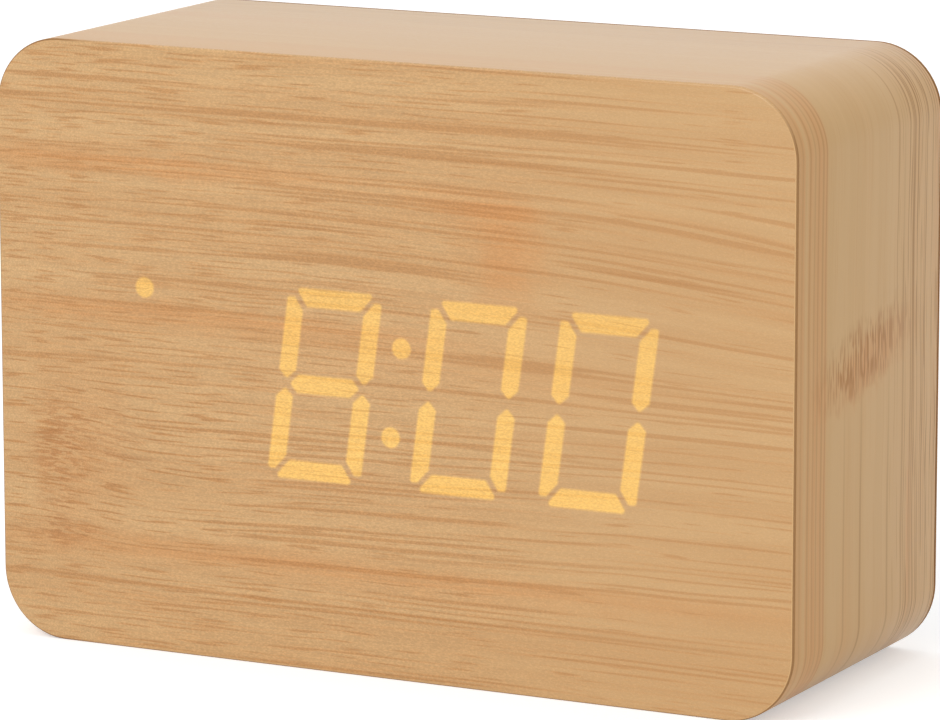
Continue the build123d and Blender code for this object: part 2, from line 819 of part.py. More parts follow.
# Ribbon between the two boards, with a plug at each end
with BuildPart() as ribbon_plugs:
    with BuildSketch(upright(display_board_rear + ribbon_plug_depth)):
        with Locations((ribbon_x, ribbon_display_z)):
            Rectangle(ribbon_plug_width, ribbon_plug_height)
    extrude(amount=ribbon_plug_depth)
    with BuildSketch(upright(main_board_front)):
        with Locations((ribbon_x, ribbon_main_z)):
            Rectangle(ribbon_plug_width, ribbon_plug_height)
    extrude(amount=ribbon_plug_depth)
ribbon_plugs.part.label = "ribbon_plugs"
export_step(ribbon_plugs.part, "parts/ribbon_plugs.step")

ribbon_start = display_board_rear + ribbon_plug_depth
ribbon_end = main_board_front - ribbon_plug_depth
ribbon_turn = (ribbon_start + ribbon_end) / 2
with BuildPart() as display_ribbon:
    with BuildLine() as ribbon_path:
        FilletPolyline(
            (ribbon_x, ribbon_start, ribbon_display_z),
            (ribbon_x, ribbon_turn, ribbon_display_z),
            (ribbon_x, ribbon_turn, ribbon_main_z),
            (ribbon_x, ribbon_end, ribbon_main_z),
            radius=ribbon_bend,
        )
    with BuildSketch(rear_facing(ribbon_x, ribbon_start, ribbon_display_z)):
        Rectangle(ribbon_width, ribbon_thickness)
    sweep()
display_ribbon.part.label = "display_ribbon"
export_step(display_ribbon.part, "parts/display_ribbon.step")

# Cells, turned end for end, each pressed by a leaf spring against the boss of a contact plate
with BuildPart() as battery_cells:
    for side, height in zip(cell_sides, cell_heights):
        with BuildSketch(Plane(origin=(side * flat_end_x, cell_y, height), z_dir=(side, 0, 0))):
            Circle(cell_diameter / 2)
        extrude(amount=cell_length - cell_nub_length)
        with BuildSketch(Plane(origin=(side * nub_end_x, cell_y, height), z_dir=(-side, 0, 0))):
            Circle(cell_nub_diameter / 2)
        extrude(amount=cell_nub_length)
battery_cells.part.label = "battery_cells"
export_step(battery_cells.part, "parts/battery_cells.step")

with BuildPart() as contact_plates:
    for side, plates in plate_heights.items():
        with BuildSketch(Plane.YZ.offset(side * bay_length / 2)):
            for low, high in plates:
                with Locations((cell_y, (low + high) / 2)):
                    Rectangle(contact_width, high - low + contact_width)
        extrude(amount=-side * contact_thickness)
    for side, height in zip(cell_sides, cell_heights):
        with BuildSketch(Plane.YZ.offset(side * (bay_length / 2 - contact_thickness))):
            with Locations((cell_y, height)):
                Circle(contact_boss_diameter / 2)
        extrude(amount=-side * contact_boss_height)
contact_plates.part.label = "contact_plates"
export_step(contact_plates.part, "parts/contact_plates.step")

with BuildPart() as contact_springs:
    for side, height in zip(cell_sides, cell_heights):
        foot = side * (contact_thickness - bay_length / 2)
        with BuildSketch(Plane.XZ.offset(-cell_y - spring_width / 2)):
            with BuildLine():
                ThreePointArc(
                    (foot, height - spring_chord / 2),
                    (side * flat_end_x, height),
                    (foot, height + spring_chord / 2),
                )
                Line(
                    (foot, height + spring_chord / 2),
                    (foot, height + spring_chord / 2 - contact_thickness),
                )
                ThreePointArc(
                    (foot, height + spring_chord / 2 - contact_thickness),
                    (side * (flat_end_x - contact_thickness), height),
                    (foot, height - spring_chord / 2 + contact_thickness),
                )
                Line(
                    (foot, height - spring_chord / 2 + contact_thickness),
                    (foot, height - spring_chord / 2),
                )
            make_face()
        extrude(amount=spring_width)
contact_springs.part.label = "contact_springs"
export_step(contact_springs.part, "parts/contact_springs.step")

# Leads from the two end plates up to the main board
with BuildPart() as battery_leads:
    for side, height in lead_starts:
        outside = side * (bay_length / 2 + bay_wall + lead_stand_off)
        with BuildLine() as lead_path:
            Polyline(
                (side * bay_length / 2, lead_y, height),
                (outside, lead_y, height),
                (outside, lead_y, main_board_bottom + lead_board_inset),
            )
        with BuildSketch(Plane(origin=(side * bay_length / 2, lead_y, height), z_dir=(side, 0, 0))):
            Circle(lead_diameter / 2)
        sweep(path=lead_path.line, transition=Transition.RIGHT)
battery_leads.part.label = "battery_leads"
export_step(battery_leads.part, "parts/battery_leads.step")

# Cell door: round lower edge to turn on, tabs below it, latch nubs above it and grip ribs
with BuildPart() as battery_door:
    with BuildSketch(Plane.YZ.offset(-door_width / 2)):
        with Locations((hinge_y, hinge_z)):
            Rectangle(door_thickness, door_top - hinge_z, align=(Align.CENTER, Align.MIN))
            Circle(door_thickness / 2)
    extrude(amount=door_width)
    upper_corners = battery_door.edges().filter_by(Axis.Y).group_by(Axis.Z)[-1]
    fillet(upper_corners, door_radius)
    with BuildSketch(upright(door_front + door_tab_thickness)):
        with Locations((0, hinge_z)):
            with GridLocations(2 * door_tab_x, door_tab_length, 2, 1):
                Rectangle(
                    door_tab_width,
                    hinge_z - door_bottom + door_tab_length,
                    align=(Align.CENTER, Align.MAX),
                )
    extrude(amount=door_tab_thickness)
    with BuildSketch(upright(hinge_y + door_nub_width / 2)):
        with Locations((-door_nub_x, door_top), (door_nub_x, door_top)):
            Rectangle(door_nub_length, 2 * door_nub_height)
    extrude(amount=door_nub_width)
    with BuildSketch(upright(cover_rear + door_rib_height)):
        with Locations((0, door_top - door_rib_rise - door_rib_pitch * (door_rib_count - 1) / 2)):
            with GridLocations(door_rib_length, door_rib_pitch, 1, door_rib_count):
                Rectangle(door_rib_length, door_rib_width)
    extrude(amount=door_rib_height)
battery_door.part.label = "battery_door"
export_step(battery_door.part, "parts/battery_door.step")
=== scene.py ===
"""Looks of the desk clock: film with a bamboo print, lit digits, rear cover details and studio."""

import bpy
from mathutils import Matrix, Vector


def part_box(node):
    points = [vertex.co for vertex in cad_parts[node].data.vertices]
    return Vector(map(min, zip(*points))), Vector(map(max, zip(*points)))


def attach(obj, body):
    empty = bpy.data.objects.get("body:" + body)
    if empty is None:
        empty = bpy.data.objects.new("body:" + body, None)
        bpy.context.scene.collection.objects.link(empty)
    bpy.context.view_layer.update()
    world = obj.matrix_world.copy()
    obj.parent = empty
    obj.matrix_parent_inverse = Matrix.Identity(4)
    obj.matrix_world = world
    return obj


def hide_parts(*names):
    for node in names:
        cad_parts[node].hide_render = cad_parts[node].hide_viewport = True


bl_info = {
    "name": "Desk Clock Looks",
    "version": (1, 0, 0),
    "blender": (4, 5, 0),
    "location": "View3D > Sidebar > Desk Clock",
    "description": "Dresses the packed desk clock with film, light, plastic and metal finishes",
    "category": "Object",
}

from math import atan2, cos, hypot, pi, radians, sin, tan

import bmesh
import bpy
from bpy.props import FloatProperty, FloatVectorProperty, IntProperty, PointerProperty
from mathutils import Matrix, Vector
from mathutils.geometry import delaunay_2d_cdt

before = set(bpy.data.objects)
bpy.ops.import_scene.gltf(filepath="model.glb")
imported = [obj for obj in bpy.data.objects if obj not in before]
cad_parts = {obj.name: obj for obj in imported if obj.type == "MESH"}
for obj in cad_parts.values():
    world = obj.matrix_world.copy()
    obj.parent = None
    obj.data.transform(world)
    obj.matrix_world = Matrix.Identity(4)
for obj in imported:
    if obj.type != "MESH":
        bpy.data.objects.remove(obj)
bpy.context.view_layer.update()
CASE = "case_body"
MM = 0.001


def colour(name, description, default):
    """A colour that the panel shows."""
    return FloatVectorProperty(
        name=name, description=description, default=default, subtype="COLOR", size=3, min=0, max=1
    )


def length(name, description, default):
    """A length in metres that the panel shows."""
    return FloatProperty(name=name, description=description, default=default, unit="LENGTH", precision=5)


class ClockFilm(bpy.types.PropertyGroup):
    """Colours of the printed film."""

    ground: colour("Ground", "Plain tan between the fibres", (0.572, 0.337, 0.147))
    pale: colour("Pale", "Lightest fibres", (0.600, 0.368, 0.167))
    red: colour("Red", "Soft reddish bands", (0.596, 0.272, 0.090))
    streak: colour("Streak", "Thin orange-brown lines", (0.440, 0.200, 0.060))
    node: colour("Node", "Broken strokes at a node of the cane", (0.420, 0.175, 0.050))
    strip_ground: colour("Strip ground", "Plain tan of the wrapped strip", (0.606, 0.380, 0.172))
    strip_pale: colour("Strip pale", "Lightest fibres of the wrapped strip", (0.622, 0.397, 0.184))
    strip_red: colour("Strip red", "Soft reddish bands of the wrapped strip", (0.625, 0.312, 0.122))
    strip_streak: colour("Strip streak", "Thin lines of the wrapped strip", (0.385, 0.190, 0.048))
    strip_node: colour("Strip node", "Feathered strokes of the wrapped strip", (0.430, 0.200, 0.058))
    # Cut edge: painted shade along the film's edges, where they turn from the light. Rim: a painted highlight
    # on the front sheet's edge rounding.
    cut: colour("Cut edge", "Dark cut edge of the film", (0.300, 0.140, 0.045))
    rim: colour("Rim", "Pale rim beside the cut edge", (0.660, 0.410, 0.185))
    lit: colour("Lit", "Light that comes through the film", (1.000, 0.600, 0.078))
    lit_gain: colour("Lit gain", "How much the print colours that light", (1.0, 1.0, 0.45))
    lit_shade: colour("Lit shade", "Film over a lit chip, without its light", (0.300, 0.170, 0.060))
    lit_power: FloatProperty(name="Lit power", description="Glow of the lit film", default=0.57, min=0)


class ClockSizes(bpy.types.PropertyGroup):
    """Sizes of the details that the looks add."""

    sheet_edge: length("Sheet edge", "Rounding of the front sheet's edge", 0.25 * MM)
    wrap_edge: length("Wrap edge", "Rounding of the wrapped strip's edges", 0.16 * MM)
    glow_inside: length("Glow inside", "Width of the soft edge inside a lit area", 0.11 * MM)
    glow_outside: length("Glow outside", "Width of the soft edge outside a lit area", 0.20 * MM)
    tip_radius: length("Tip radius", "Rounding of the digits' corners", 0.34 * MM)
    screw_slot: length("Screw slot", "Width of the arms of a screw's cross", 0.55 * MM)
    arc_steps: IntProperty(name="Arc steps", description="Facets in a quarter turn", default=24, min=4)


class ClockStage(bpy.types.PropertyGroup):
    """Camera and studio."""

    lens: FloatProperty(name="Lens", description="Focal length", default=223.4, unit="CAMERA")
    azimuth: FloatProperty(name="Azimuth", description="View from the right of the front",
                           default=0.474355, subtype="ANGLE")
    elevation: FloatProperty(name="Elevation", description="View from above level",
                             default=0.188191, subtype="ANGLE")
    roll: FloatProperty(name="Roll", description="Turn about the line of sight",
                        default=-0.001032, subtype="ANGLE")
    eye: FloatVectorProperty(name="Eye", description="Camera position", size=3, subtype="TRANSLATION",
                             default=(0.299753, -0.582907, 0.157932))
    sky: FloatProperty(name="Sky", description="Level of the even light", default=0.78, min=0)
    key: FloatProperty(name="Key", description="Power of the large front lamp", default=5.2, unit="POWER")
    top: FloatProperty(name="Top", description="Power of the overhead lamp", default=0.3, unit="POWER")


SETTINGS = (("clock_film", ClockFilm), ("clock_sizes", ClockSizes), ("clock_stage", ClockStage))


# Places that repeat the construction's own sizes, in millimetres

DISPLAY_X = 1.45
DISPLAY_Z = 32.85
DIGIT_WIDTH = 11.9
DIGIT_HEIGHT = 21.9
DIGIT_PITCH = 16.0
COLON_PITCH = 18.1
SLANT = radians(7.8)
SEGMENT_WIDTH = 2.1
SEGMENT_GAP = 0.5
BAR_TIP_INSET = 0.95
POST_TIP_DROP = 1.05
POST_TIP_WIDTH = 0.9
DOT_DIAMETER = 2.3
COLON_RISE = 5.1
ALARM_DOT = (-32.2, 9.4)
DOT_STEPS = 40
CASE_RADIUS = 8.0
TOP_WAY = 163.1  # way round from the seam underneath to the middle of the top
SEAM_WIDTH = 0.15
SCREW_HEAD = 2.1  # radius
SHOWN = (("8", -COLON_PITCH / 2), ("0", COLON_PITCH / 2), ("0", COLON_PITCH / 2 + DIGIT_PITCH))
SEGMENTS_OF = {"8": "abcdefg", "0": "abcdef"}


# Meshes

def link(name, data):
    """A new object in the scene."""
    made = bpy.data.objects.new(name, data)
    bpy.context.scene.collection.objects.link(made)
    return made


def finish_mesh(name, verts, faces, smooth_below=radians(35)):
    """An object at the origin with shading that breaks at the sharp edges."""
    mesh = bpy.data.meshes.new(name)
    mesh.from_pydata([tuple(v) for v in verts], [], faces)
    mesh.validate()
    mesh.shade_smooth()
    mesh.set_sharp_from_angle(angle=smooth_below)
    return link(name, mesh)


def mark_points(mesh, name, values, kind="FLOAT", key="value"):
    """Gives each point of a mesh a value of its own."""
    mesh.attributes.new(name, kind, "POINT").data.foreach_set(key, values)


def outward(piece, merge=True):
    """Turns every face of a closed piece outwards, with its double points merged if wished."""
    shape = bmesh.new()
    shape.from_mesh(piece.data)
    if merge:
        bmesh.ops.remove_doubles(shape, verts=shape.verts, dist=1e-7)
    bmesh.ops.recalc_face_normals(shape, faces=shape.faces)
    shape.to_mesh(piece.data)
    shape.free()


def circle(radius, count):
    """Points at equal steps round a circle."""
    turns = [2 * pi * step / count for step in range(count)]
    return [(radius * cos(turn), radius * sin(turn)) for turn in turns]


def lean(u, v, centre):
    """A point of an upright digit, leaned over and set at its place on the front."""
    return DISPLAY_X + centre + u + v * tan(SLANT), DISPLAY_Z + v


def segment_corners(name, centre):
    """Corners of one segment of a digit at its place on the front, anticlockwise."""
    side, top, half = DIGIT_WIDTH / 2, DIGIT_HEIGHT / 2, SEGMENT_WIDTH / 2
    inner_side, inner_top = side - SEGMENT_WIDTH, top - SEGMENT_WIDTH
    bar = [(-side + BAR_TIP_INSET, top), (side - BAR_TIP_INSET, top),
           (inner_side - SEGMENT_GAP, inner_top), (-inner_side + SEGMENT_GAP, inner_top)]
    post = [(side - POST_TIP_WIDTH, top - POST_TIP_DROP), (side, top - POST_TIP_DROP),
            (side, SEGMENT_GAP + half), (side - half, SEGMENT_GAP),
            (inner_side, SEGMENT_GAP + half), (inner_side, inner_top - SEGMENT_GAP)]
    middle = [(side - half - SEGMENT_GAP, 0), (inner_side - SEGMENT_GAP, -half),
              (-inner_side + SEGMENT_GAP, -half), (-side + half + SEGMENT_GAP, 0),
              (-inner_side + SEGMENT_GAP, half), (inner_side - SEGMENT_GAP, half)]
    shapes = {"a": (bar, 1, 1), "d": (bar, 1, -1), "g": (middle, 1, 1), "b": (post, 1, 1),
              "c": (post, 1, -1), "f": (post, -1, 1), "e": (post, -1, -1)}
    points, flip_u, flip_v = shapes[name]
    return anticlockwise([lean(flip_u * u, flip_v * v, centre) for u, v in points])


def anticlockwise(points):
    """The same outline, turned so that it runs anticlockwise."""
    area = sum(a[0] * b[1] - b[0] * a[1] for a, b in zip(points, points[1:] + points[:1]))
    return points if area > 0 else points[::-1]


def rounded_spokes(points, radius, steps=5):
    """Pairs of a core point and a direction, so that core + t * direction is the outline at t."""
    count = len(points)
    normals = []
    for index in range(count):
        along = Vector(points[(index + 1) % count]) - Vector(points[index])
        normals.append(Vector((along.y, -along.x)).normalized())
    spokes = []
    for index in range(count):
        first, second = normals[index - 1], normals[index]
        core = Vector(points[index]) - (first + second) * (radius / (1 + first.dot(second)))
        turn = atan2(first.x * second.y - first.y * second.x, first.dot(second))
        start = atan2(first.y, first.x)
        for step in range(steps):
            angle = start + turn * step / (steps - 1)
            spokes.append((core, Vector((cos(angle), sin(angle)))))
    return spokes


def lit_shapes(radius):
    """The spokes of each lit area: the digits' segments and the three dots."""
    shapes = [rounded_spokes(segment_corners(name, centre), radius)
              for digit, centre in SHOWN for name in SEGMENTS_OF[digit]]
    dots = [lean(0, COLON_RISE, 0), lean(0, -COLON_RISE, 0)]
    dots.append((DISPLAY_X + ALARM_DOT[0], DISPLAY_Z + ALARM_DOT[1]))
    core_radius = DOT_DIAMETER / 2 - radius
    ways = [Vector(way) for way in circle(1, DOT_STEPS)]
    return shapes + [[(Vector(place) + core_radius * way, way) for way in ways] for place in dots]


def ring_at(spokes, reach):
    """The points of an outline at one reach from its core."""
    return [tuple(core + reach * direction) for core, direction in spokes]


def inside(point, outline):
    """Whether a point lies inside an outline."""
    x, z = point
    hit = False
    for (x1, z1), (x2, z2) in zip(outline, outline[1:] + outline[:1]):
        if (z1 > z) != (z2 > z) and x < (x2 - x1) * (z - z1) / (z2 - z1) + x1:
            hit = not hit
    return hit


def case_outline(inset, steps, seam=0):
    """Stations round the case from the middle of the underside, anticlockwise from the front."""
    low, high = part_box("wrap_film")
    half, tall = high[0] / MM - inset, (high[2] - low[2]) / MM
    radius = CASE_RADIUS - inset
    corners = [(half - radius, inset + radius, -90), (half - radius, tall - inset - radius, 0),
               (radius - half, tall - inset - radius, 90), (radius - half, inset + radius, 180)]
    points = [(seam / 2, inset)] if seam else []
    for x, z, start in corners:
        for step in range(steps + 1):
            angle = radians(start + 90 * step / steps)
            points.append((x + radius * cos(angle), z + radius * sin(angle)))
    return points + ([(-seam / 2, inset)] if seam else [])


def rounded_edge(edge, face):
    """Insets and depths of a rounded edge, from its face outwards."""
    turns = [radians(90 * step / 4) for step in range(5)]
    return [(edge * (1 - sin(turn)), face + edge * (1 - cos(turn))) for turn in turns]


class Shell:
    """Vertices and faces of a piece while it is being built, with a glow value for each vertex."""

    def __init__(self):
        self.verts = []
        self.faces = []
        self.glow = []

    def ring(self, points, y, glow=0.0):
        """Adds the points of an outline at one depth and returns their numbers."""
        start = len(self.verts)
        self.verts += [(x * MM, y * MM, z * MM) for x, z in points]
        self.glow += [glow] * len(points)
        return list(range(start, len(self.verts)))

    def bridge(self, first, second, closed=True):
        """Quads between two rings of the same length."""
        count = len(first)
        for index in range(count if closed else count - 1):
            after = (index + 1) % count
            self.faces.append((first[index], first[after], second[after], second[index]))

    def chain(self, rings, closed=True):
        """Quads from each ring to the next."""
        for first, second in zip(rings, rings[1:]):
            self.bridge(first, second, closed)

    def fill(self, outer, holes, facing_front):
        """Triangles between an outer ring and the rings of its holes."""
        numbers = outer + [n for hole in holes for n in hole]
        flat = [Vector((self.verts[n][0] / MM, self.verts[n][2] / MM)) for n in numbers]
        edges, start = [], 0
        for loop in [outer] + holes:
            edges += [(start + k, start + (k + 1) % len(loop)) for k in range(len(loop))]
            start += len(loop)
        found = delaunay_2d_cdt(flat, edges, [], 0, 1e-6)
        back = [numbers[origin[0]] for origin in found[3]]
        outlines = [[tuple(flat[numbers.index(n)]) for n in hole] for hole in holes]
        border = [tuple(flat[k]) for k in range(len(outer))]
        for face in found[2]:
            middle = sum((found[0][k] for k in face), Vector((0, 0))) / len(face)
            if not inside(middle, border) or any(inside(middle, hole) for hole in outlines):
                continue
            corners = [back[k] for k in face]
            a, b, c = (found[0][k] for k in face[:3])
            turns_left = (b - a).cross(c - a) > 0
            self.faces.append(tuple(corners if turns_left == facing_front else corners[::-1]))

    def piece(self, name, smooth_below=radians(35)):
        """The finished object, with the glow as an attribute of its points."""
        made = finish_mesh(name, self.verts, self.faces, smooth_below)
        mark_points(made.data, "glow", self.glow)
        return made


# Node trees

def number_sum(operation, turned=False):
    """A method for one sum of two values, with its sides turned about if wished."""
    def method(self, other):
        return self.graph.math(operation, *((other, self) if turned else (self, other)))
    return method


class Flow:
    """A value that flows through a node tree; a sum with it adds a node."""

    __add__ = __radd__ = number_sum("ADD")
    __mul__ = __rmul__ = number_sum("MULTIPLY")
    __sub__, __rsub__ = number_sum("SUBTRACT"), number_sum("SUBTRACT", True)
    __truediv__, __rtruediv__ = number_sum("DIVIDE"), number_sum("DIVIDE", True)

    def __init__(self, graph, socket):
        self.graph = graph
        self.socket = socket


class Graph:
    """A node tree with short ways to fill it."""

    def __init__(self, tree):
        self.tree = tree

    def add(self, kind, inputs=None, **settings):
        """A new node with its settings and its input sockets filled."""
        node = self.tree.nodes.new(kind)
        for key, value in settings.items():
            setattr(node, key, value)
        for key, value in (inputs or {}).items():
            self.put(node.inputs[key], value)
        return node

    def get(self, kind, inputs=None, output=0, **settings):
        """One output of a new node."""
        return Flow(self, self.add(kind, inputs, **settings).outputs[output])

    def outputs(self, node):
        """All outputs of a node by their names."""
        return {socket.name: Flow(self, socket) for socket in node.outputs}

    def put(self, socket, value):
        """Links a flowing value to a socket, or sets the socket's own value."""
        if isinstance(value, Flow):
            self.tree.links.new(value.socket, socket)
        else:
            socket.default_value = (*value, 1.0) if socket.type == "RGBA" else value

    def math(self, operation, a, b=0.0, clamp=False):
        """One sum or other operation on numbers."""
        return self.get("ShaderNodeMath", {0: a, 1: b}, operation=operation, use_clamp=clamp)

    def vector(self, operation, a, b=(0, 0, 0)):
        """One operation on vectors."""
        output = "Value" if operation == "LENGTH" else "Vector"
        return self.get("ShaderNodeVectorMath", {0: a, 1: b}, output, operation=operation)

    def split(self, vector):
        """The three numbers of a vector."""
        return list(self.outputs(self.add("ShaderNodeSeparateXYZ", {0: vector})).values())

    def join(self, x=0.0, y=0.0, z=0.0):
        """A vector of three numbers."""
        return self.get("ShaderNodeCombineXYZ", {0: x, 1: y, 2: z})

    def band(self, value, low, high, to_low=0.0, to_high=1.0, smooth=True):
        """A value brought from one range to another, with its ends held."""
        kind = "SMOOTHSTEP" if smooth else "LINEAR"
        limits = {"From Min": low, "From Max": high, "To Min": to_low, "To Max": to_high}
        return self.get("ShaderNodeMapRange", {"Value": value, **limits}, interpolation_type=kind)

    def mix(self, factor, first, second, blend="MIX"):
        """Two colours mixed."""
        node = self.add("ShaderNodeMix", data_type="RGBA", blend_type=blend)
        sockets = [s for s in node.inputs if s.enabled]
        for socket, value in zip(sockets, (factor, first, second)):
            self.put(socket, value)
        return Flow(self, [s for s in node.outputs if s.enabled][0])

    def shaded(self, colour, share):
        """A colour times a number."""
        return self.mix(1.0, colour, self.join(share, share, share), "MULTIPLY")

    def noise(self, vector, scale=1.0, detail=2.0, roughness=0.5, distortion=0.0):
        """Noise between nought and one."""
        values = {"Vector": vector, "Scale": scale, "Detail": detail, "Roughness": roughness}
        return self.get("ShaderNodeTexNoise", {**values, "Distortion": distortion})

    def stretched(self, vector, sizes, seed, detail=2.0, distortion=0.0):
        """Noise whose features have the given sizes, in the vector's own unit."""
        shares = tuple(1 / size for size in sizes)
        start = (seed, seed * 2.7, seed * 1.3)
        moved = self.vector("ADD", self.vector("MULTIPLY", vector, shares), start)
        return self.noise(moved, 1.0, detail, 0.5, distortion)

    def mark(self, name):
        """A value that the piece's points carry."""
        return self.get("ShaderNodeAttribute", None, "Fac", attribute_name=name)

    def use(self, group, **inputs):
        """The outputs of a group placed in this tree; an underscore in a name stands for a space."""
        node = self.add("ShaderNodeGroup", node_tree=group)
        for key, value in inputs.items():
            self.put(node.inputs[key.replace("_", " ")], value)
        return self.outputs(node)


LOOK = {"Color": "Color", "Roughness": "Float", "Height": "Float"}


def node_group(inputs, outputs=LOOK, kind="ShaderNodeTree"):
    """Makes a node group of a function that takes a graph and its inputs and returns its outputs.

    The group is built when it is first asked for and found again by the function's name.
    """
    def wrap(build):
        def group():
            name = build.__name__
            if name in bpy.data.node_groups:
                return bpy.data.node_groups[name]
            tree = bpy.data.node_groups.new(name, kind)
            for way, sockets in (("INPUT", inputs), ("OUTPUT", outputs)):
                for label, socket in sockets.items():
                    tree.interface.new_socket(label, in_out=way, socket_type="NodeSocket" + socket)
            graph = Graph(tree)
            given = graph.outputs(graph.add("NodeGroupInput"))
            result = graph.add("NodeGroupOutput").inputs
            for socket, value in zip(result, build(graph, given)):
                graph.put(socket, value)
            return tree
        return group
    return wrap


@node_group({"Vector": "Vector", "Centre": "Vector", "Half Size": "Vector", "Tilt": "Float",
             "Strength": "Float"}, {"Mask": "Float"})
def soft_patch(g, given):
    """Group: one soft oval spot, fully on at its centre."""
    away = g.vector("SUBTRACT", given["Vector"], given["Centre"])
    turn = {"Vector": away, "Angle": given["Tilt"] * -1.0}
    turned = g.get("ShaderNodeVectorRotate", turn, rotation_type="Z_AXIS")
    reach = g.vector("LENGTH", g.vector("DIVIDE", turned, given["Half Size"]))
    return [g.band(reach, 0.15, 1.6, 1.0, 0.0) * given["Strength"]]


PRINT_COLOURS = ("Ground", "Pale", "Red", "Streak", "Node")
PRINT_SHARES = ("Short Lines", "Long Lines", "Line Depth", "Blush", "Strokes", "Stroke Fill", "Threads",
                "Weave")


def print_colours(prefix=""):
    """The print's colours for the front, or for the wrapped strip with its prefix."""
    film = bpy.context.scene.clock_film
    return {label: getattr(film, prefix + label.lower()) for label in PRINT_COLOURS}


@node_group({"Vector": "Vector", "Stroke Size": "Vector", **dict.fromkeys(PRINT_SHARES, "Float"),
             **dict.fromkeys(PRINT_COLOURS, "Color")})
def film_print(g, given):
    """Group: the printed cane, from masks for its lines, blush and node strokes."""
    place = given["Vector"]
    broad = g.stretched(place, (60, 2.6, 20), 1.0, 2.0)
    short = g.stretched(place, (6.5, 0.29, 9), 5.0, 0.0)
    long = g.stretched(place, (38, 0.40, 20), 11.0, 0.0)
    hair = g.stretched(place, (6.0, 0.17, 9), 17.0, 1.0)
    dashes = g.noise(g.vector("DIVIDE", place, given["Stroke Size"]), 1.0, 1.0, 0.5, 0.3)
    canvas = g.stretched(place, (0.32, 0.15, 0.3), 2.0, 1.0)

    def line_masks(value, share, spread):
        """The thin core of each line and the soft blush beside it."""
        above = value - (0.72 - share * spread)
        return g.band(above, 0.0, 0.10), g.band(above, -0.09, 0.02)

    short_core, short_halo = line_masks(short, given["Short Lines"], 0.16)
    long_core, long_halo = line_masks(long, given["Long Lines"], 0.15)
    stroke = g.band(dashes, 0.45, 0.55, given["Stroke Fill"], 1.0)
    halo = g.math("MAXIMUM", short_halo, long_halo) * 0.16
    blush = given["Blush"] * g.band(long, 0.3, 0.7, 0.45, 1.0, False)
    lines = g.math("MAXIMUM", short_core, long_core)

    body = g.mix(g.band(broad, 0.38, 0.62), given["Ground"], given["Pale"])
    body = g.mix(g.math("MAXIMUM", blush, halo), body, given["Red"])
    body = g.mix(lines * given["Line Depth"], body, given["Streak"])
    body = g.mix(given["Threads"] * 0.7, body, given["Streak"])
    body = g.mix(stroke * given["Strokes"], body, given["Node"])
    fibre = g.band(hair, 0.3, 0.7, -0.06, 0.06, False)
    speckle = g.band(canvas, 0.3, 0.7, -0.095, 0.095, False)
    body = g.shaded(body, (fibre + speckle) * given["Weave"] + 1.0)
    return body, g.band(canvas, 0.3, 0.7, 0.22, 0.30, False), canvas - short_core * 0.3


# Where the print has its soft spots: along, across, half sizes, tilt in degrees, strength.
# On the front, along is X and across is Z; on the wrapped strip, along is the way round from the
# middle of the underside and across is the depth Y.

FRONT_BLUSH = (
    (-32, 56.2, 30, 1.4, -0.5, 0.80),
    (10, 54.6, 9, 2.0, -1.0, 0.70),
    (15, 49.5, 5.0, 6.0, 12.0, 0.90),
    (-26, 39.2, 32, 1.4, 0.0, 0.75),
    (8, 36.0, 30, 3.4, -1.5, 0.30),
    (-20, 12.0, 34, 1.6, 0.0, 0.70),
    (26, 11.6, 30, 1.6, 1.5, 0.50),
    (-40, 23.0, 6, 12.0, 0.0, 0.35),
)
FRONT_STROKES = (
    (-42.8, 21.0, 3.2, 8.5, 5.0, 0.58),
    (-42.0, 12.8, 6.5, 1.6, 0.0, 0.40),
    (-36.0, 24.5, 7.0, 5.0, -6.0, 0.36),
)
FRONT_THREADS = (
    (-39, 55.3, 13, 0.20, -0.3, 0.75),
    (-14, 62.1, 15, 0.19, 0.4, 0.70),
    (15, 59.5, 15, 0.22, 0.0, 0.75),
    (-24, 50.8, 24, 0.18, -0.7, 0.65),
    (32, 48.2, 10, 0.20, -3.0, 0.65),
    (37, 51.0, 13, 0.20, -4.0, 0.55),
    (14, 27.4, 15, 0.20, -1.5, 0.70),
    (18, 15.3, 18, 0.20, 2.2, 0.75),
    (0, 7.6, 62, 0.20, 0.0, 0.85),
)
STRIP_BLUSH = (
    (88, 19.2, 60, 1.1, 0.0, 0.40),
    (88, 14.5, 62, 6.0, 0.0, 0.24),
    (83.6, -1.0, 3.2, 11.5, -11.0, 0.90),
    (88, -17.4, 64, 0.50, 0.0, -0.55),
    (88, -19.3, 64, 0.30, 0.0, -0.25),
    (62, 11.6, 9, 0.8, 0.0, 0.60),
    (20, -6.0, 46, 2.0, 0.0, 0.50),
    (245, 6.0, 60, 2.5, 0.0, 0.50),
)
STRIP_STROKES = (
    (84.8, -1.0, 3.4, 11.5, -11.0, 1.15),
    (240.0, 2.0, 4.0, 12.0, 8.0, 0.90),
)
STRIP_THREADS = (
    (88, -18.5, 64, 0.22, 0.0, 0.40),
    (88, -16.5, 64, 0.26, 0.0, 0.55),
    (88, -15.2, 64, 0.20, 0.0, 0.45),
    (88, -14.2, 64, 0.20, 0.0, 0.50),
    (88, -13.0, 64, 0.24, 0.0, 0.60),
    (88, -12.1, 64, 0.16, 0.0, 0.55),
    (57, -6.6, 23, 0.24, 0.0, 0.55),
    (55, -2.0, 26, 0.26, 0.0, 0.85),
    (57, 5.6, 26, 0.25, 0.0, 0.70),
    (66, 9.6, 38, 0.25, 0.0, 0.75),
    (86, 12.2, 56, 0.25, 0.0, 0.60),
)


def add_patches(g, vector, patches):
    """The sum of a list of soft spots, held between nought and one."""
    total = 0.0
    for along, across, half_along, half_across, tilt, strength in patches:
        mask = g.use(soft_patch(), Vector=vector, Centre=(along, across, 0), Tilt=radians(tilt),
                     Half_Size=(half_along, half_across, 1), Strength=strength)["Mask"]
        total = mask + total
    return g.math("MINIMUM", total, 1.0)


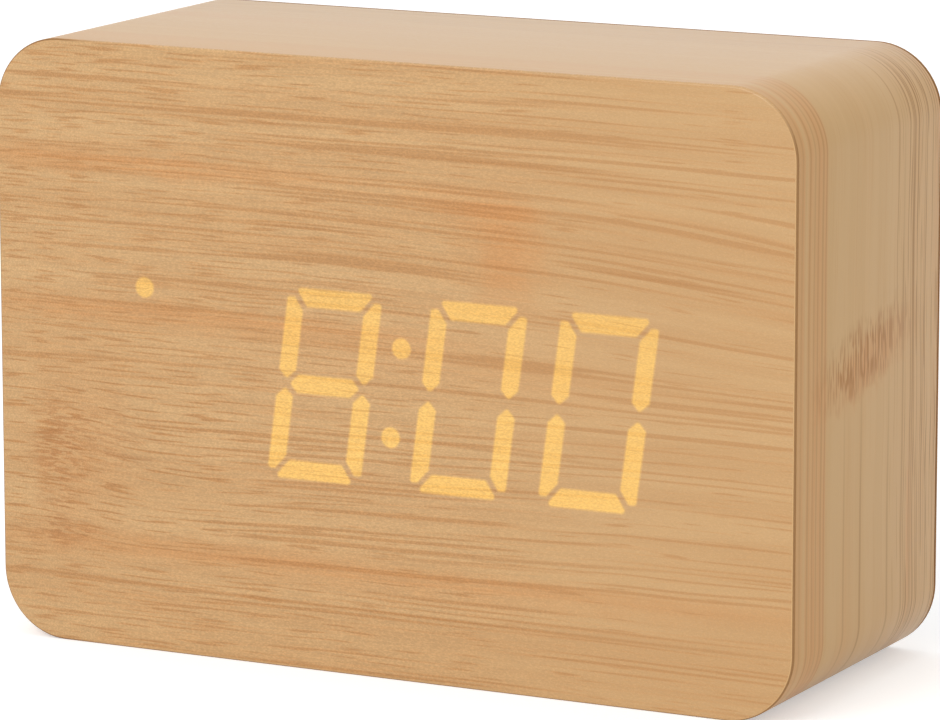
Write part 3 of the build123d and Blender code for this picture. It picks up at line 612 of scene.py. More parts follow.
def front_flow(g, x, z):
    """How far the print's lines are moved up at each place: level on the left, drawn together
    on the right above the digits, and rising to the right below them."""
    right = g.math("MAXIMUM", x + 10.0, 0.0)
    upper = g.band(z, 30, 44) * g.band(z, 51, 60, 1.0, 0.15)
    lower = g.band(z, 8, 15) * g.band(z, 23, 34, 1.0, 0.0)
    sunk = g.band(x, -44, -30, 0.0, 0.8)
    risen = g.band(x, -25, 30, 0.0, 1.7, False)
    return upper * (right * right * (3.2 / 3600)) + lower * (sunk - risen)


@node_group({"Vector": "Vector"})
def front_print(g, given):
    """Group: the front sheet's look."""
    x, z = g.split(given["Vector"])[::2]
    place = g.join(x, z)
    bend = g.noise(g.vector("MULTIPLY", place, (0.03, 0.06, 0)), 1.0, 1.0)
    across = z + front_flow(g, x, z) + bend * 0.8
    wobble = g.noise(place, 0.3, 1.0) - 0.5
    spot = g.join(x + wobble * 5.0, z + wobble * 1.6)
    along = x + g.math("MINIMUM", x + 36.0, 0.0) * 0.6
    by_node = g.band(x, -26, -12, 1.0, 0.0) * (g.band(z, 29, 35, 1.0, 0.0) * g.band(z, 11.5, 14))
    return g.use(film_print(), Vector=g.join(along, across, 3.0), **print_colours(),
                 Stroke_Size=(2.8, 0.30, 5.0), Stroke_Fill=0.10,
                 Short_Lines=g.band(x, -30, 36, 0.80, 0.05) - by_node * 0.10,
                 Long_Lines=g.band(x, -34, -10, 0.55, 0.85) - by_node * 0.80,
                 Line_Depth=g.band(x, 5, 40, 0.52, 0.42) + by_node * 0.16,
                 Weave=g.band(x, 0, 36, 1.0, 0.20),
                 Blush=add_patches(g, spot, FRONT_BLUSH), Strokes=add_patches(g, spot, FRONT_STROKES),
                 Threads=add_patches(g, place, FRONT_THREADS)).values()


def from_top(g, along):
    """How far a place on the strip lies from the middle of the top, along the way round."""
    return g.math("ABSOLUTE", along - TOP_WAY)


@node_group({"Vector": "Vector"})
def strip_print(g, given):
    """Group: the wrapped strip's look, laid out along its way round the case."""
    along, across = g.split(given["Vector"])[:2]
    drift = (g.noise(g.join(along * 0.05, across * 0.05, 2.0), 1.0, 1.0) - 0.5) * 1.6
    place = g.join(along, across + drift * 0.4)
    spot = g.join(along + (g.noise(place, 0.6, 1.0) - 0.5) * 4.0, across)
    side_share = g.band(from_top(g, along), 40, 50, 0.35, 1.0)
    rear_share = g.band(across, 5.0, 12.0) * side_share
    on_side = g.band(across, -11.9, -11.6, 0.72, 0.0) * side_share
    front_band = on_side + g.band(side_share, 0.35, 1.0, 0.10, 0.0)
    return g.use(film_print(), Vector=g.join(along * 0.6, (across + drift) * 1.25, 9.0),
                 **print_colours("strip_"), Stroke_Size=(2.4, 0.56, 5.0), Stroke_Fill=0.05,
                 Short_Lines=rear_share * 0.5, Long_Lines=rear_share,
                 Line_Depth=g.band(across, 3, 12, 0.12, 0.88) * side_share,
                 Weave=g.band(across, 4, 16, 0.12, 0.35),
                 Blush=g.math("ADD", add_patches(g, spot, STRIP_BLUSH), front_band, True),
                 Strokes=add_patches(g, spot, STRIP_STROKES),
                 Threads=add_patches(g, place, STRIP_THREADS) * side_share).values()


@node_group({"Vector": "Vector", "Grain": "Float", "Colour": "Color", "Dust": "Color", "Dust Share": "Float"})
def moulded_grain(g, given):
    """Group: the fine spark-eroded grain of a moulded part, with a little dust in it."""
    finer = {"Vector": given["Vector"], "Scale": 1.0 / given["Grain"]}
    grain = g.noise(g.get("ShaderNodeVectorMath", finer, operation="SCALE"), 1.0, 2.0, 0.6)
    haze = g.noise(given["Vector"], 0.11, 3.0, 0.55)
    dusty = g.band(haze, 0.45, 0.75) * given["Dust Share"]
    specks = g.band(grain, 0.62, 0.75) * given["Dust Share"]
    body = g.mix(g.math("ADD", dusty, specks, True), given["Colour"], given["Dust"])
    return body, g.band(haze, 0.3, 0.7, -0.05, 0.06, False) + 0.5, grain


@node_group({"Vector": "Vector", "Colour": "Color", "Stain": "Color"})
def brushed(g, given):
    """Group: the fine lines that drawing or rolling leaves in metal."""
    lines = g.stretched(given["Vector"], (3.0, 0.08, 0.08), 3.0)
    stain = g.noise(given["Vector"], 0.35, 3.0, 0.6)
    body = g.mix(g.band(stain, 0.5, 0.8, 0.0, 0.45), given["Colour"], given["Stain"])
    return body, lines * 0.16 + stain * 0.2, lines


class Finish(Graph):
    """A material's node tree, with one Principled shader that its maker fills."""

    def __init__(self, name, **values):
        self.material = bpy.data.materials.new(name)
        self.material.use_nodes = True
        super().__init__(self.material.node_tree)
        self.shader = self.tree.nodes["Principled BSDF"]
        self.set(**values)

    def set(self, **values):
        """Fills the shader's sockets; an underscore in a name stands for a space."""
        for key, value in values.items():
            self.put(self.shader.inputs[key.replace("_", " ")], value)

    def in_millimetres(self, metres):
        """A place in metres, brought to millimetres."""
        return self.vector("DIVIDE", metres, (MM, MM, MM))

    def millimetres(self):
        """The place on the piece, in millimetres."""
        return self.in_millimetres(self.get("ShaderNodeTexCoord", None, "Object"))

    def axes(self):
        """The place on the piece, as three numbers in millimetres."""
        return self.split(self.millimetres())

    def paint(self, body, rough, height, bump, depth, **values):
        """Fills colour, roughness and bump, at a depth in millimetres, and gives the material."""
        relief = {"Height": height, "Strength": bump, "Distance": depth * MM}
        self.set(Base_Color=body, Roughness=rough, Normal=self.get("ShaderNodeBump", relief), **values)
        return self.material

    def fill(self, look, roughness_shift=0.0, bump=0.5, bump_depth=0.02):
        """Paints from a group's colour, roughness and height."""
        rough = look["Roughness"]
        if roughness_shift:
            rough = self.math("ADD", rough, roughness_shift, True)
        return self.paint(look["Color"], rough, look["Height"], bump, bump_depth)


# Finishes

def printed_film(name, group, place_of, edge_of, bump=0.25, shift=0.0):
    """The printed film, with painted shade along its edges and, where given, a painted highlight on its rim.
    """
    film = bpy.context.scene.clock_film
    g = Finish(name, Specular_IOR_Level=0.36)
    look = g.use(group, Vector=place_of(g))
    rim, cut = edge_of(g)
    # Painted highlight where a rim mask is given, then painted shade along the edges.
    body = g.mix(rim, look["Color"], film.rim) if rim else look["Color"]
    body = g.mix(cut, body, film.cut)
    g.paint(body, g.math("MAXIMUM", look["Roughness"] + shift, cut), look["Height"], bump, 0.03)
    return g, look, body


def add_glow(g, look, body):
    """The chips' light through the printed film, where the piece has a glow."""
    film = bpy.context.scene.clock_film
    glow = g.mark("glow")
    through = g.mix(0.45, film.lit, g.mix(1.0, look["Color"], film.lit_gain, "MULTIPLY"))
    rise = g.band(g.axes()[2], 21, 44, 1.06, 0.93, False)
    through = g.shaded(through, g.band(look["Height"], 0.25, 0.65, 0.82, 1.14, False) * rise)
    g.set(Base_Color=g.mix(glow * 0.55, body, film.lit_shade),
          Emission_Color=g.mix(glow, (0, 0, 0), through), Emission_Strength=film.lit_power)


def front_finish():
    """Front sheet and its lit areas: one print, so that the lines run on through the digits."""
    def edge(g):
        x, y, z = g.axes()
        below_top = g.band(z, 63.0, 69.3, 1.0, 0.0)
        at_left = g.band(x, -44, -34, 1.0, 0.0)
        # Painted highlight: a paler line on the edge rounding of the right and lower edges, left off the top
        # and the left.
        rim = g.band(y, -19.9995, -19.990) * g.math("SUBTRACT", below_top, at_left, True)
        # Painted shade on the rounding of the left edge, and on the sheet's side everywhere below the top.
        left_edge_shade = g.band(y, -19.995, -19.970) * at_left
        shaded = g.band(y, -19.975, -19.950, 0.0, 0.8) * below_top
        return rim, g.math("MAXIMUM", left_edge_shade, shaded)
    g, look, body = printed_film("printed_front", front_print(), Finish.millimetres, edge)
    add_glow(g, look, body)
    return g.material


def strip_finish():
    """Wrapped strip: the print follows its way round the case."""
    def way_round(g):
        return g.in_millimetres(g.get("ShaderNodeUVMap", uv_map="way_round"))

    def edge(g):
        along, across = g.split(way_round(g))[:2]
        # Painted shade: a dark line just behind the front sheet on the sides, left off the top, and a
        # half-strength dark line along the rear edge.
        near = g.band(across, -19.56, -19.42, 0.5, 0.0) * g.band(from_top(g, along), 44, 54)
        return None, g.math("MAXIMUM", near, g.band(across, 19.50, 19.58, 0.0, 0.5))
    g = printed_film("printed_strip", strip_print(), way_round, edge, 0.08, 0.08)[0]
    along = g.split(way_round(g))[0]
    g.set(Specular_IOR_Level=g.band(from_top(g, along), 40, 52, 0.50, 0.10))
    return g.material


def back_finish():
    """Rear sheet: the front's print turned about, so that no spot lies behind its like."""
    def turned(g):
        return g.vector("MULTIPLY", g.millimetres(), (-1, 1, 1))

    def edge(g):
        # Painted shade: the sheet is darkened everywhere except near its rear face, so its edges show dark.
        return None, g.band(g.axes()[1], 19.93, 19.97, 1.0, 0.0)
    return printed_film("printed_back", front_print(), turned, edge)[0].material


def moulded(name, body, dust, dust_share=0.05, grain=0.22, bump=0.5, shift=0.0, depth=0.03, **values):
    """A moulded plastic."""
    g = Finish(name, **values)
    look = g.use(moulded_grain(), Vector=g.millimetres(), Colour=body, Grain=grain, Dust=dust,
                 Dust_Share=dust_share)
    return g.fill(look, shift, bump, depth)


def metal(name, body, stain=(0.30, 0.27, 0.23), shift=0.08):
    """A drawn or rolled metal."""
    g = Finish(name, Metallic=1.0)
    look = g.use(brushed(), Vector=g.millimetres(), Colour=body, Stain=stain)
    return g.fill(look, shift, 0.3, 0.01)


def board_finish():
    """Circuit board: green resist over copper tracks, with tinned lands."""
    g = Finish("green_board")
    x, z = g.axes()[::2]
    cell = g.join(x, z)
    rows = {"Vector": cell, "Scale": 0.42, "Mortar Size": 0.035, "Bias": -1.0}
    tracks = g.get("ShaderNodeTexBrick", rows, "Fac")
    spots = {"Vector": cell, "Scale": 0.33, "Randomness": 0.55}
    lands = g.band(g.get("ShaderNodeTexVoronoi", spots, "Distance"), 0.10, 0.14, 1.0, 0.0)
    weave = g.noise(cell, 3.0, 2.0)
    resist = g.mix(g.band(weave, 0.3, 0.7), (0.010, 0.080, 0.032), (0.016, 0.110, 0.045))
    tracked = g.mix(tracks, resist, (0.030, 0.170, 0.070))
    body = g.mix(lands, tracked, (0.62, 0.60, 0.56))
    rough = g.band(weave, 0.2, 0.8, 0.28, 0.42, False)
    return g.paint(body, rough, tracks + lands, 0.4, 0.03, Metallic=lands * 0.9)


def fibreboard_finish():
    """Routed fibreboard: pressed brown fibres."""
    g = Finish("pressed_fibre")
    fibres = g.stretched(g.millimetres(), (1.2, 0.25, 0.25), 4.0, 3.0, 0.8)
    clumps = g.noise(g.millimetres(), 0.35, 3.0)
    body = g.mix(g.band(fibres, 0.35, 0.68), (0.235, 0.130, 0.062), (0.420, 0.265, 0.140))
    body = g.mix(g.band(clumps, 0.45, 0.75, 0.0, 0.4), body, (0.17, 0.09, 0.045))
    return g.paint(body, g.band(fibres, 0.2, 0.8, 0.78, 0.95, False), fibres, 0.8, 0.06)


def ribbon_finish():
    """A flat ribbon of moulded cores, grey with a red core at its right edge."""
    g = Finish("grey_ribbon")
    pitch, red_from, blur, start = 1.27, 1.05, 0.05, 500.0
    across = g.axes()[0]
    core = g.math("FRACT", (across + start) / pitch)
    crown = 1.0 - g.math("ABSOLUTE", core * 2.0 - 1.0)
    dirt = g.noise(g.millimetres(), 1.2, 2.0)
    # Painted shade: the grooves between the cores are darker grey than the crowns, on top of the bump.
    body = g.mix(g.band(crown, 0.0, 0.35), (0.20, 0.20, 0.21), (0.42, 0.42, 0.43))
    body = g.mix(g.band(across, red_from - blur, red_from + blur), body, (0.5, 0.03, 0.02))
    body = g.mix(g.band(dirt, 0.5, 0.8, 0.0, 0.15), body, (0.1, 0.09, 0.08))
    return g.paint(body, g.band(dirt, 0.3, 0.7, 0.42, 0.56, False), crown, 0.6, 0.12)


def lead_finish():
    """Leads from the cells: black on the left of the case and red on the right."""
    g = Finish("lead_sheaths")
    side = g.band(g.axes()[0], -1.0, 1.0)
    sheath = g.mix(side, (0.012, 0.012, 0.013), (0.45, 0.012, 0.010))
    look = g.use(moulded_grain(), Vector=g.millimetres(), Colour=sheath, Grain=0.3,
                 Dust=(0.4, 0.35, 0.3), Dust_Share=0.04)
    return g.fill(look, -0.08, 0.3)


def chip_finish():
    """Light chips: yellow phosphor that glows a little."""
    g = Finish("phosphor_chip", Emission_Strength=0.4)
    grain = g.noise(g.millimetres(), 6.0, 2.0)
    body = g.mix(g.band(grain, 0.3, 0.7), (0.80, 0.58, 0.16), (0.90, 0.72, 0.30))
    g.set(Base_Color=body, Emission_Color=body, Roughness=g.band(grain, 0.2, 0.8, 0.30, 0.5, False))
    return g.material


def finishes():
    """Each slot's material."""
    white, white_dust = (0.80, 0.79, 0.76), (0.55, 0.52, 0.47)
    black, black_dust = (0.016, 0.016, 0.017), (0.10, 0.095, 0.09)
    button, button_dust = (0.030, 0.030, 0.032), (0.13, 0.12, 0.115)
    chip, chip_dust = (0.020, 0.020, 0.021), (0.12, 0.11, 0.10)
    clear, clear_dust = (0.90, 0.89, 0.86), (0.7, 0.66, 0.6)
    return {
        "fibreboard": fibreboard_finish(),
        "bamboo_film": back_finish(),
        "lit_film": front_finish(),
        "clear_plastic": moulded("frosted_lens", clear, clear_dust, 0.06, 0.5, 0.5, -0.12, 0.05,
                                 Transmission_Weight=0.5, IOR=1.49),
        "white_plastic": moulded("white_moulding", white, white_dust, 0.08),
        "black_plastic": moulded("black_moulding", black, black_dust, 0.16, 0.20, 0.65),
        "button_plastic": moulded("button_moulding", button, button_dust, 0.12, 0.12, 0.3, -0.08),
        "circuit_board": board_finish(),
        "chip_plastic": moulded("chip_moulding", chip, chip_dust, 0.10, 0.10, 0.35),
        "light_chip": chip_finish(),
        "steel": metal("bright_steel", (0.60, 0.59, 0.57)),
        "spring_steel": metal("plated_spring", (0.68, 0.66, 0.61), (0.40, 0.34, 0.22)),
        "cell_jacket": cell_finish(),
        "ribbon_plastic": ribbon_finish(),
        "capacitor_can": metal("can_sleeve", (0.50, 0.51, 0.54), (0.03, 0.05, 0.16), 0.10),
        "lead_sheath": lead_finish(),
    }


def cell_finish():
    """Cells: a slate sleeve with a pale band at the nub end, and bare metal at both ends."""
    g = Finish("cell_sleeve")
    bare, reach = g.mark("bare"), g.mark("reach")
    scuff = g.noise(g.millimetres(), 0.9, 3.0, 0.6)
    line = g.band(reach, 0.850, 0.856) * g.band(reach, 0.866, 0.872, 1.0, 0.0)
    pale = g.math("MAXIMUM", g.band(reach, 0.885, 0.895), line)
    sleeve = g.mix(pale, (0.045, 0.105, 0.125), (0.62, 0.62, 0.60))
    sleeve = g.mix(g.band(scuff, 0.55, 0.8, 0.0, 0.2), sleeve, (0.25, 0.23, 0.21))
    body = g.mix(bare, sleeve, (0.66, 0.65, 0.62))
    return g.paint(body, g.band(scuff, 0.3, 0.7, 0.26, 0.38, False), scuff, 0.15, 0.02, Metallic=bare)


# Pieces

def front_sheet():
    """The printed front sheet with its lit areas' soft borders, and the lit areas themselves."""
    sizes = bpy.context.scene.clock_sizes
    low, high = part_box("front_film")
    face, back = low[1] / MM, high[1] / MM
    edge, steps = sizes.sheet_edge / MM, sizes.arc_steps
    radius, soft_in, soft_out = (v / MM for v in (sizes.tip_radius, sizes.glow_inside, sizes.glow_outside))

    sheet, lit = Shell(), Shell()
    profile = rounded_edge(edge, face) + [(0, back - edge / 2), (edge / 2, back)]
    rim = [sheet.ring(case_outline(inset, steps), y) for inset, y in profile]
    sheet.chain(rim)
    front_holes, back_holes = [], []
    for spokes in lit_shapes(radius):
        outline = ring_at(spokes, radius)
        outer = sheet.ring(ring_at(spokes, radius + soft_out), face, 0.0)
        middle = sheet.ring(outline, face, 0.5)
        deep = sheet.ring(outline, back, 0.5)
        sheet.chain([outer, middle, deep])
        front_holes.append(outer)
        back_holes.append(deep)
        border = lit.ring(outline, face, 0.5)
        inner = lit.ring(ring_at(spokes, radius - soft_in), face, 1.0)
        rear = lit.ring(outline, back, 0.5)
        lit.chain([inner, border, rear])
        lit.faces += [tuple(inner), tuple(rear[::-1])]
    sheet.fill(rim[0], front_holes, True)
    sheet.fill(rim[-1], back_holes, False)
    material = bpy.data.materials.get("printed_front") or front_finish()
    for shell, name, node, slot in ((sheet, "front_sheet", "front_film", "bamboo_film"),
                                    (lit, "lit_areas", "lit_segments", "lit_film")):
        piece = shell.piece(name)
        outward(piece)
        piece.data.materials.append(material)
        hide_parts(node)
        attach(piece, CASE)


def wrap_sheet():
    """The printed strip that is wrapped round the case and meets itself underneath."""
    sizes = bpy.context.scene.clock_sizes
    low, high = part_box("wrap_film")
    near, far = low[1] / MM, high[1] / MM
    front_low, front_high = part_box("front_film")
    thick = front_high[1] / MM - front_low[1] / MM
    steps = sizes.arc_steps
    profile = rounded_edge(sizes.wrap_edge / MM, near)
    profile += [(inset, far + near - y) for inset, y in reversed(profile)]
    profile += [(thick, far), (thick, near)]
    strip = Shell()
    rings = [strip.ring(case_outline(inset, steps, SEAM_WIDTH), y) for inset, y in profile]
    strip.chain(rings + rings[:1], closed=False)
    strip.faces += [tuple(ring[0] for ring in rings), tuple(ring[-1] for ring in reversed(rings))]
    piece = strip.piece("wrap_sheet")
    outline = case_outline(0, steps, SEAM_WIDTH)
    ways = [0.0]
    for (x1, z1), (x2, z2) in zip(outline, outline[1:]):
        ways.append(ways[-1] + hypot(x2 - x1, z2 - z1))
    layer = piece.data.uv_layers.new(name="way_round")
    for loop in piece.data.loops:
        at = loop.vertex_index % len(outline)
        layer.data[loop.index].uv = (ways[at] * MM, piece.data.vertices[loop.vertex_index].co.y)
    outward(piece, merge=False)
    piece.data.materials.append(strip_finish())
    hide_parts("wrap_film")
    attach(piece, CASE)


def dress_nodes():
    """Every construction node that stays gets its slot's finish."""
    made = finishes()
    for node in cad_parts.values():
        for slot in node.material_slots:
            slot.material = made[slot.material.name.split(".")[0]]


# Repeated pieces

def screw_template():
    """One countersunk screw with a cross recess, its head's face at the origin and its point along -Y."""
    sizes = bpy.context.scene.clock_sizes
    shank, long, tall, rim = 1.1, 9.0, 1.0, 0.12
    slot, reach, deep = sizes.screw_slot / MM, 1.25, 0.95
    shell = Shell()
    stations = [(SCREW_HEAD - rim, 0.0), (SCREW_HEAD, -rim), (shank, -tall)]
    crest, root, pitch = shank, shank * 0.72, 0.7
    y = -tall - 0.4
    while y > -long + 1.8:
        stations += [(root, y), (crest, y - pitch / 2)]
        y -= pitch
    stations += [(root, y), (0.25, -long)]
    rings = [shell.ring(circle(r, 32), y) for r, y in stations]
    shell.chain(rings)
    shell.faces.append(tuple(rings[-1]))
    half = slot / 2
    cross = []
    for quarter in range(4):
        turn = quarter * pi / 2
        for u, v in ((reach, -half), (reach, half), (half * 1.25, half * 1.25)):
            cross.append((u * cos(turn) - v * sin(turn), u * sin(turn) + v * cos(turn)))
    top = shell.ring(cross, 0.0)
    narrow = shell.ring([(u * 0.5, v * 0.5) for u, v in cross], -deep)
    shell.bridge(top, narrow)
    shell.faces.append(tuple(narrow))
    shell.fill(rings[0], [top], True)
    made = shell.piece("screw_template", radians(25))
    outward(made)
    return made


def cell_template():
    """One cell lying along X from its flat end at the origin to its nub, with its bare ends marked."""
    radius = 10.5 / 2
    long, nub, nub_long, rim, lip = 43.5, 3.8 / 2, 1.0, 0.5, 0.25
    profile = [(0, 0.35, 1), (radius * 0.55, 0.35, 1), (radius * 0.62, 0.0, 1), (radius - rim, 0.0, 1),
               (radius - rim + lip, 0.05, 1), (radius - rim + lip, 0.051, 0), (radius, rim, 0),
               (radius, long - rim, 0), (radius - rim + lip, long - 0.05, 0), (radius - rim, long, 0),
               (radius - rim - 0.02, long, 1), (nub + 0.5, long, 1), (nub + 0.1, long + 0.08, 1),
               (nub, long + nub_long - 0.2, 1), (nub - 0.2, long + nub_long, 1), (0, long + nub_long, 1)]
    sides = 48
    verts, faces, bare, reach, rings = [], [], [], [], []
    for ring_radius, x, metal_share in profile:
        points = circle(ring_radius, sides if ring_radius else 1)
        rings.append(list(range(len(verts), len(verts) + len(points))))
        verts += [(x * MM, u * MM, v * MM) for u, v in points]
        bare += [float(metal_share)] * len(points)
        reach += [x / long] * len(points)
    for first, second in zip(rings, rings[1:]):
        for step in range(sides):
            after = (step + 1) % sides
            corners = [first[step % len(first)], first[after % len(first)],
                       second[after % len(second)], second[step % len(second)]]
            faces.append(tuple(dict.fromkeys(corners)))
    made = finish_mesh("cell_template", verts, faces, radians(40))
    mark_points(made.data, "bare", bare)
    mark_points(made.data, "reach", reach)
    outward(made, merge=False)
    return made


@node_group({"Geometry": "Geometry", "Template": "Object", "Finish": "Material"}, {"Geometry": "Geometry"},
            "GeometryNodeTree")
def placing_tree(g, given):
    """Geometry nodes: one template on every point, turned by the point's own angles, made real."""
    shape = {"Object": given["Template"], "As Instance": True}
    placed = g.get("GeometryNodeInstanceOnPoints", {
        "Points": given["Geometry"], "Instance": g.get("GeometryNodeObjectInfo", shape, "Geometry"),
        "Rotation": g.get("GeometryNodeInputNamedAttribute", {"Name": "turn"}, data_type="FLOAT_VECTOR")})
    real = g.get("GeometryNodeRealizeInstances", {"Geometry": placed})
    return [g.get("GeometryNodeSetMaterial", {"Geometry": real, "Material": given["Finish"]})]


def copies(name, template, places, turns, material):
    """A plain mesh of the template at each place, in millimetres, with its turn in radians."""
    points = bpy.data.meshes.new(name + "_places")
    points.from_pydata([(x * MM, y * MM, z * MM) for x, y, z in places], [], [])
    mark_points(points, "turn", [value for turn in turns for value in turn], "FLOAT_VECTOR", "vector")
    holder = link(name + "_places", points)
    modifier = holder.modifiers.new("placed", "NODES")
    modifier.node_group = placing_tree()
    sockets = {s.name: s.identifier for s in modifier.node_group.interface.items_tree if s.in_out == "INPUT"}
    modifier[sockets["Template"]] = template
    modifier[sockets["Finish"]] = material
    graph = bpy.context.evaluated_depsgraph_get()
    mesh = bpy.data.meshes.new_from_object(holder.evaluated_get(graph), depsgraph=graph)
    for done in (holder, template):
        bpy.data.objects.remove(done)
    mesh.name = name
    return link(name, mesh)


def rear_screws():
    """The four crosshead screws of the rear cover."""
    low, high = (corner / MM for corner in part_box("cover_screws"))
    places = [(x, high[1], z) for x in (low[0] + SCREW_HEAD, high[0] - SCREW_HEAD)
              for z in (low[2] + SCREW_HEAD, high[2] - SCREW_HEAD)]
    turns = [(0, radians(angle), 0) for angle in (12, 55, 78, 31)]
    zinc = metal("zinc_screw", (0.56, 0.56, 0.57))
    piece = copies("crosshead_screws", screw_template(), places, turns, zinc)
    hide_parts("cover_screws")
    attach(piece, CASE)


def sleeved_cells():
    """The three cells, nubs to the right, the left and the right."""
    low, high = (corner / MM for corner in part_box("battery_cells"))
    radius = (high[1] - low[1]) / 2
    middle_z = (low[2] + high[2]) / 2
    step = (high[2] - low[2]) / 2 - radius
    places, turns = [], []
    for row in range(3):
        to_right = row != 1
        places.append((low[0] if to_right else high[0], low[1] + radius, middle_z + (row - 1) * step))
        turns.append((radians((20, -35, 50)[row]), 0, 0 if to_right else pi))
    piece = copies("sleeved_cells", cell_template(), places, turns, cell_finish())
    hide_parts("battery_cells")
    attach(piece, CASE)


def button_marks():
    """A printed mark on each button's cap: an arrow up, an arrow down and a ring."""
    ink = moulded("mark_ink", (0.78, 0.78, 0.76), (0.4, 0.4, 0.38), 0.1, 0.1, 0.2, depth=0.02)
    proud, half = 0.03, 1.15
    arrow = [(-half, -half * 0.62), (half, -half * 0.62), (0, half * 0.95)]
    for label in ("up", "down", "set"):
        low, high = (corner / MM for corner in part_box(label + "_button"))
        x, z, face = (low[0] + high[0]) / 2, (low[2] + high[2]) / 2, high[1]
        shell = Shell()
        if label == "set":
            outlines = [[(x + u * share, z + v * share) for u, v in circle(half, 36)] for share in (1, 0.68)]
        else:
            flip = 1 if label == "up" else -1
            outlines = [[(x + u, z + flip * v) for u, v in arrow]]
        lower = [shell.ring(outline, face - proud) for outline in outlines]
        upper = [shell.ring(outline, face + proud) for outline in outlines]
        for first, second in zip(lower, upper):
            shell.bridge(first, second)
        shell.fill(lower[0], lower[1:], True)
        shell.fill(upper[0], upper[1:], False)
        piece = shell.piece(label + "_mark")
        outward(piece)
        piece.data.materials.append(ink)
        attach(piece, label + "_button_body")


# Studio

def build_camera():
    """The camera at the photograph's place and angle."""
    stage = bpy.context.scene.clock_stage
    turn, rise = stage.azimuth, stage.elevation
    right = Vector((cos(turn), sin(turn), 0))
    back = Vector((sin(turn) * cos(rise), -cos(turn) * cos(rise), sin(rise)))
    above = back.cross(right)
    basis = Matrix((right, above, back)).transposed().to_4x4() @ Matrix.Rotation(stage.roll, 4, "Z")
    data = bpy.data.cameras.new("clock_view")
    data.sensor_width = 36.0
    data.lens = stage.lens
    data.clip_start = 0.01
    camera = link("clock_view", data)
    camera.matrix_world = Matrix.Translation(stage.eye) @ basis
    bpy.context.scene.camera = camera


def seen_directly(g):
    """One where a ray comes from the camera, a mirror or glass, and nought for the light on the object."""
    path = g.outputs(g.add("ShaderNodeLightPath"))
    seen = g.math("MAXIMUM", path["Is Camera Ray"], path["Is Glossy Ray"])
    return g.math("MAXIMUM", seen, path["Is Transmission Ray"])


def build_world():
    """Even white light, with a white background."""
    world = bpy.data.worlds.new("studio_air")
    world.use_nodes = True
    g = Graph(world.node_tree)
    background = world.node_tree.nodes["Background"].inputs
    g.put(background["Color"], (1, 1, 1))
    sky = bpy.context.scene.clock_stage.sky
    g.put(background["Strength"], g.band(seen_directly(g), 0, 1, sky, 1.0, False))
    bpy.context.scene.world = world


def build_floor():
    """A pale floor that looks white from above and keeps the clock's shadow, and is clear from below."""
    size, cuts, gap = 3.0, 8, 0.02 * MM
    shape = bmesh.new()
    bmesh.ops.create_grid(shape, x_segments=cuts, y_segments=cuts, size=size)
    bmesh.ops.translate(shape, verts=shape.verts, vec=(0, 0, -gap))
    mesh = bpy.data.meshes.new("studio_floor")
    shape.to_mesh(mesh)
    shape.free()
    g = Finish("pale_floor", Roughness=0.9)
    tone = g.noise(g.millimetres(), 0.004, 2.0)
    pale = g.mix(g.band(tone, 0.3, 0.7), (0.80, 0.80, 0.80), (0.82, 0.82, 0.82))
    lift = g.band(seen_directly(g), 0, 1, 0.0, 0.42, False)
    g.set(Base_Color=pale, Emission_Color=(1, 1, 1), Emission_Strength=lift)
    reach = g.get("ShaderNodeLightPath", None, "Ray Length")
    from_below = g.get("ShaderNodeNewGeometry", None, "Backfacing")
    clear = g.math("MAXIMUM", from_below, g.band(reach, gap * 3, gap * 4, 1.0, 0.0, False))
    seen, unseen = Flow(g, g.shader.outputs[0]), g.get("ShaderNodeBsdfTransparent")
    shown = g.get("ShaderNodeMixShader", {0: clear, 1: seen, 2: unseen})
    g.put(g.tree.nodes["Material Output"].inputs["Surface"], shown)
    mesh.materials.append(g.material)
    link("studio_floor", mesh)


def lamp(name, place, aim, size, power):
    """A large soft lamp that faces a point."""
    data = bpy.data.lights.new(name, "AREA")
    data.shape = "DISK"
    data.size = size
    data.energy = power
    way = Vector(aim) - Vector(place)
    turn = way.to_track_quat("-Z", "Y").to_matrix().to_4x4()
    link(name, data).matrix_world = Matrix.Translation(place) @ turn


def build_stage():
    """Camera, lights, floor and colour management."""
    stage = bpy.context.scene.clock_stage
    build_camera()
    build_world()
    build_floor()
    lamp("key_lamp", (-0.15, -1.0, 0.75), (0, 0, 0.035), 0.7, stage.key)
    lamp("top_lamp", (-0.1, 0.1, 1.1), (0, 0, 0.035), 0.9, stage.top)
    bpy.context.scene.view_settings.view_transform = "Standard"


# Operators, panel and registration

class ClockOperator(bpy.types.Operator):
    """Base of this file's operators: each builds one group of pieces."""

    bl_options = {"REGISTER", "UNDO"}

    def execute(self, context):
        type(self).build()
        return {"FINISHED"}


class DressNodes(ClockOperator):
    """Give each construction piece its finish"""
    bl_idname = "clock.dress_nodes"
    bl_label = "Dress construction pieces"
    build = staticmethod(dress_nodes)


class FrontSheet(ClockOperator):
    """Build the printed front sheet and its lit areas"""
    bl_idname = "clock.front_sheet"
    bl_label = "Front sheet"
    build = staticmethod(front_sheet)


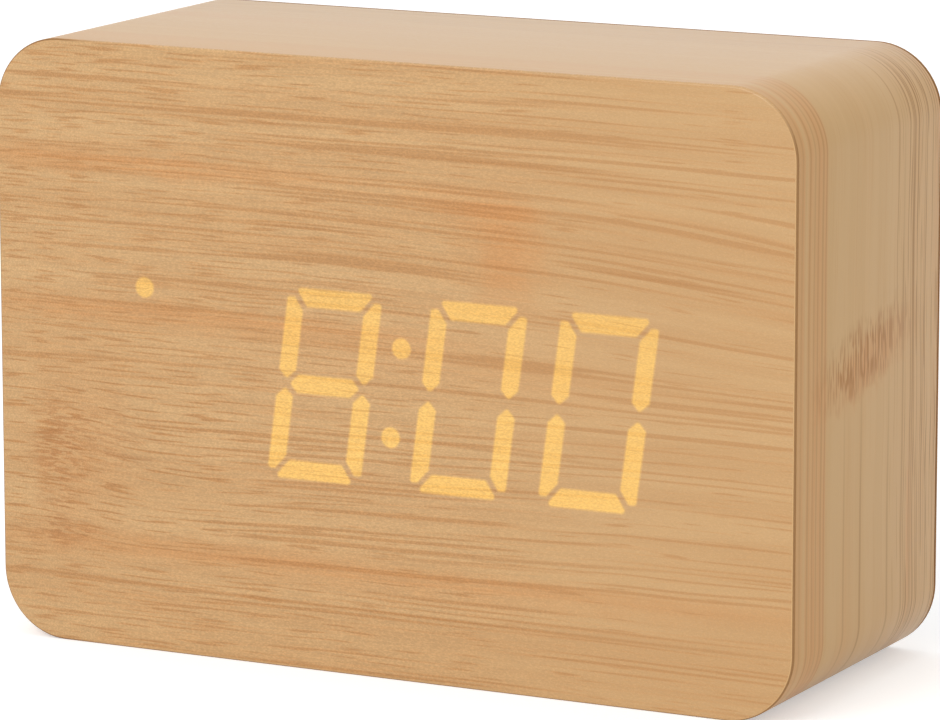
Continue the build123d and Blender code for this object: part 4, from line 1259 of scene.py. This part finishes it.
class WrapSheet(ClockOperator):
    """Build the printed strip wrapped round the case"""
    bl_idname = "clock.wrap_sheet"
    bl_label = "Wrapped strip"
    build = staticmethod(wrap_sheet)


class RearScrews(ClockOperator):
    """Build the rear cover's crosshead screws"""
    bl_idname = "clock.rear_screws"
    bl_label = "Rear screws"
    build = staticmethod(rear_screws)


class SleevedCells(ClockOperator):
    """Build the three cells"""
    bl_idname = "clock.sleeved_cells"
    bl_label = "Cells"
    build = staticmethod(sleeved_cells)


class ButtonMarks(ClockOperator):
    """Print a mark on each button"""
    bl_idname = "clock.button_marks"
    bl_label = "Button marks"
    build = staticmethod(button_marks)


class Studio(ClockOperator):
    """Set up camera, lights and floor"""
    bl_idname = "clock.studio"
    bl_label = "Studio"
    build = staticmethod(build_stage)


OPERATORS = (DressNodes, FrontSheet, WrapSheet, RearScrews, SleevedCells, ButtonMarks, Studio)


class ClockPanel(bpy.types.Panel):
    """Panel that lists the clock's builders and their values"""
    bl_idname = "VIEW3D_PT_desk_clock"
    bl_label = "Desk Clock"
    bl_space_type = "VIEW_3D"
    bl_region_type = "UI"
    bl_category = "Desk Clock"

    def draw(self, context):
        for operator in OPERATORS:
            self.layout.operator(operator.bl_idname)
        for name, group in SETTINGS:
            box = self.layout.box()
            for value in group.__annotations__:
                box.prop(getattr(context.scene, name), value)


CLASSES = tuple(group for _, group in SETTINGS) + OPERATORS + (ClockPanel,)


def register():
    """Registers the classes and the scene's settings."""
    for made in CLASSES:
        bpy.utils.register_class(made)
    for name, group in SETTINGS:
        setattr(bpy.types.Scene, name, PointerProperty(type=group))


def unregister():
    """Takes the settings and the classes away again."""
    for name, _ in SETTINGS:
        delattr(bpy.types.Scene, name)
    for made in reversed(CLASSES):
        bpy.utils.unregister_class(made)


def main():
    """Builds every group in order."""
    register()
    bpy.ops.clock.dress_nodes()
    bpy.ops.clock.front_sheet()
    bpy.ops.clock.wrap_sheet()
    bpy.ops.clock.rear_screws()
    bpy.ops.clock.sleeved_cells()
    bpy.ops.clock.button_marks()
    bpy.ops.clock.studio()


if __name__ == "__main__":
    main()
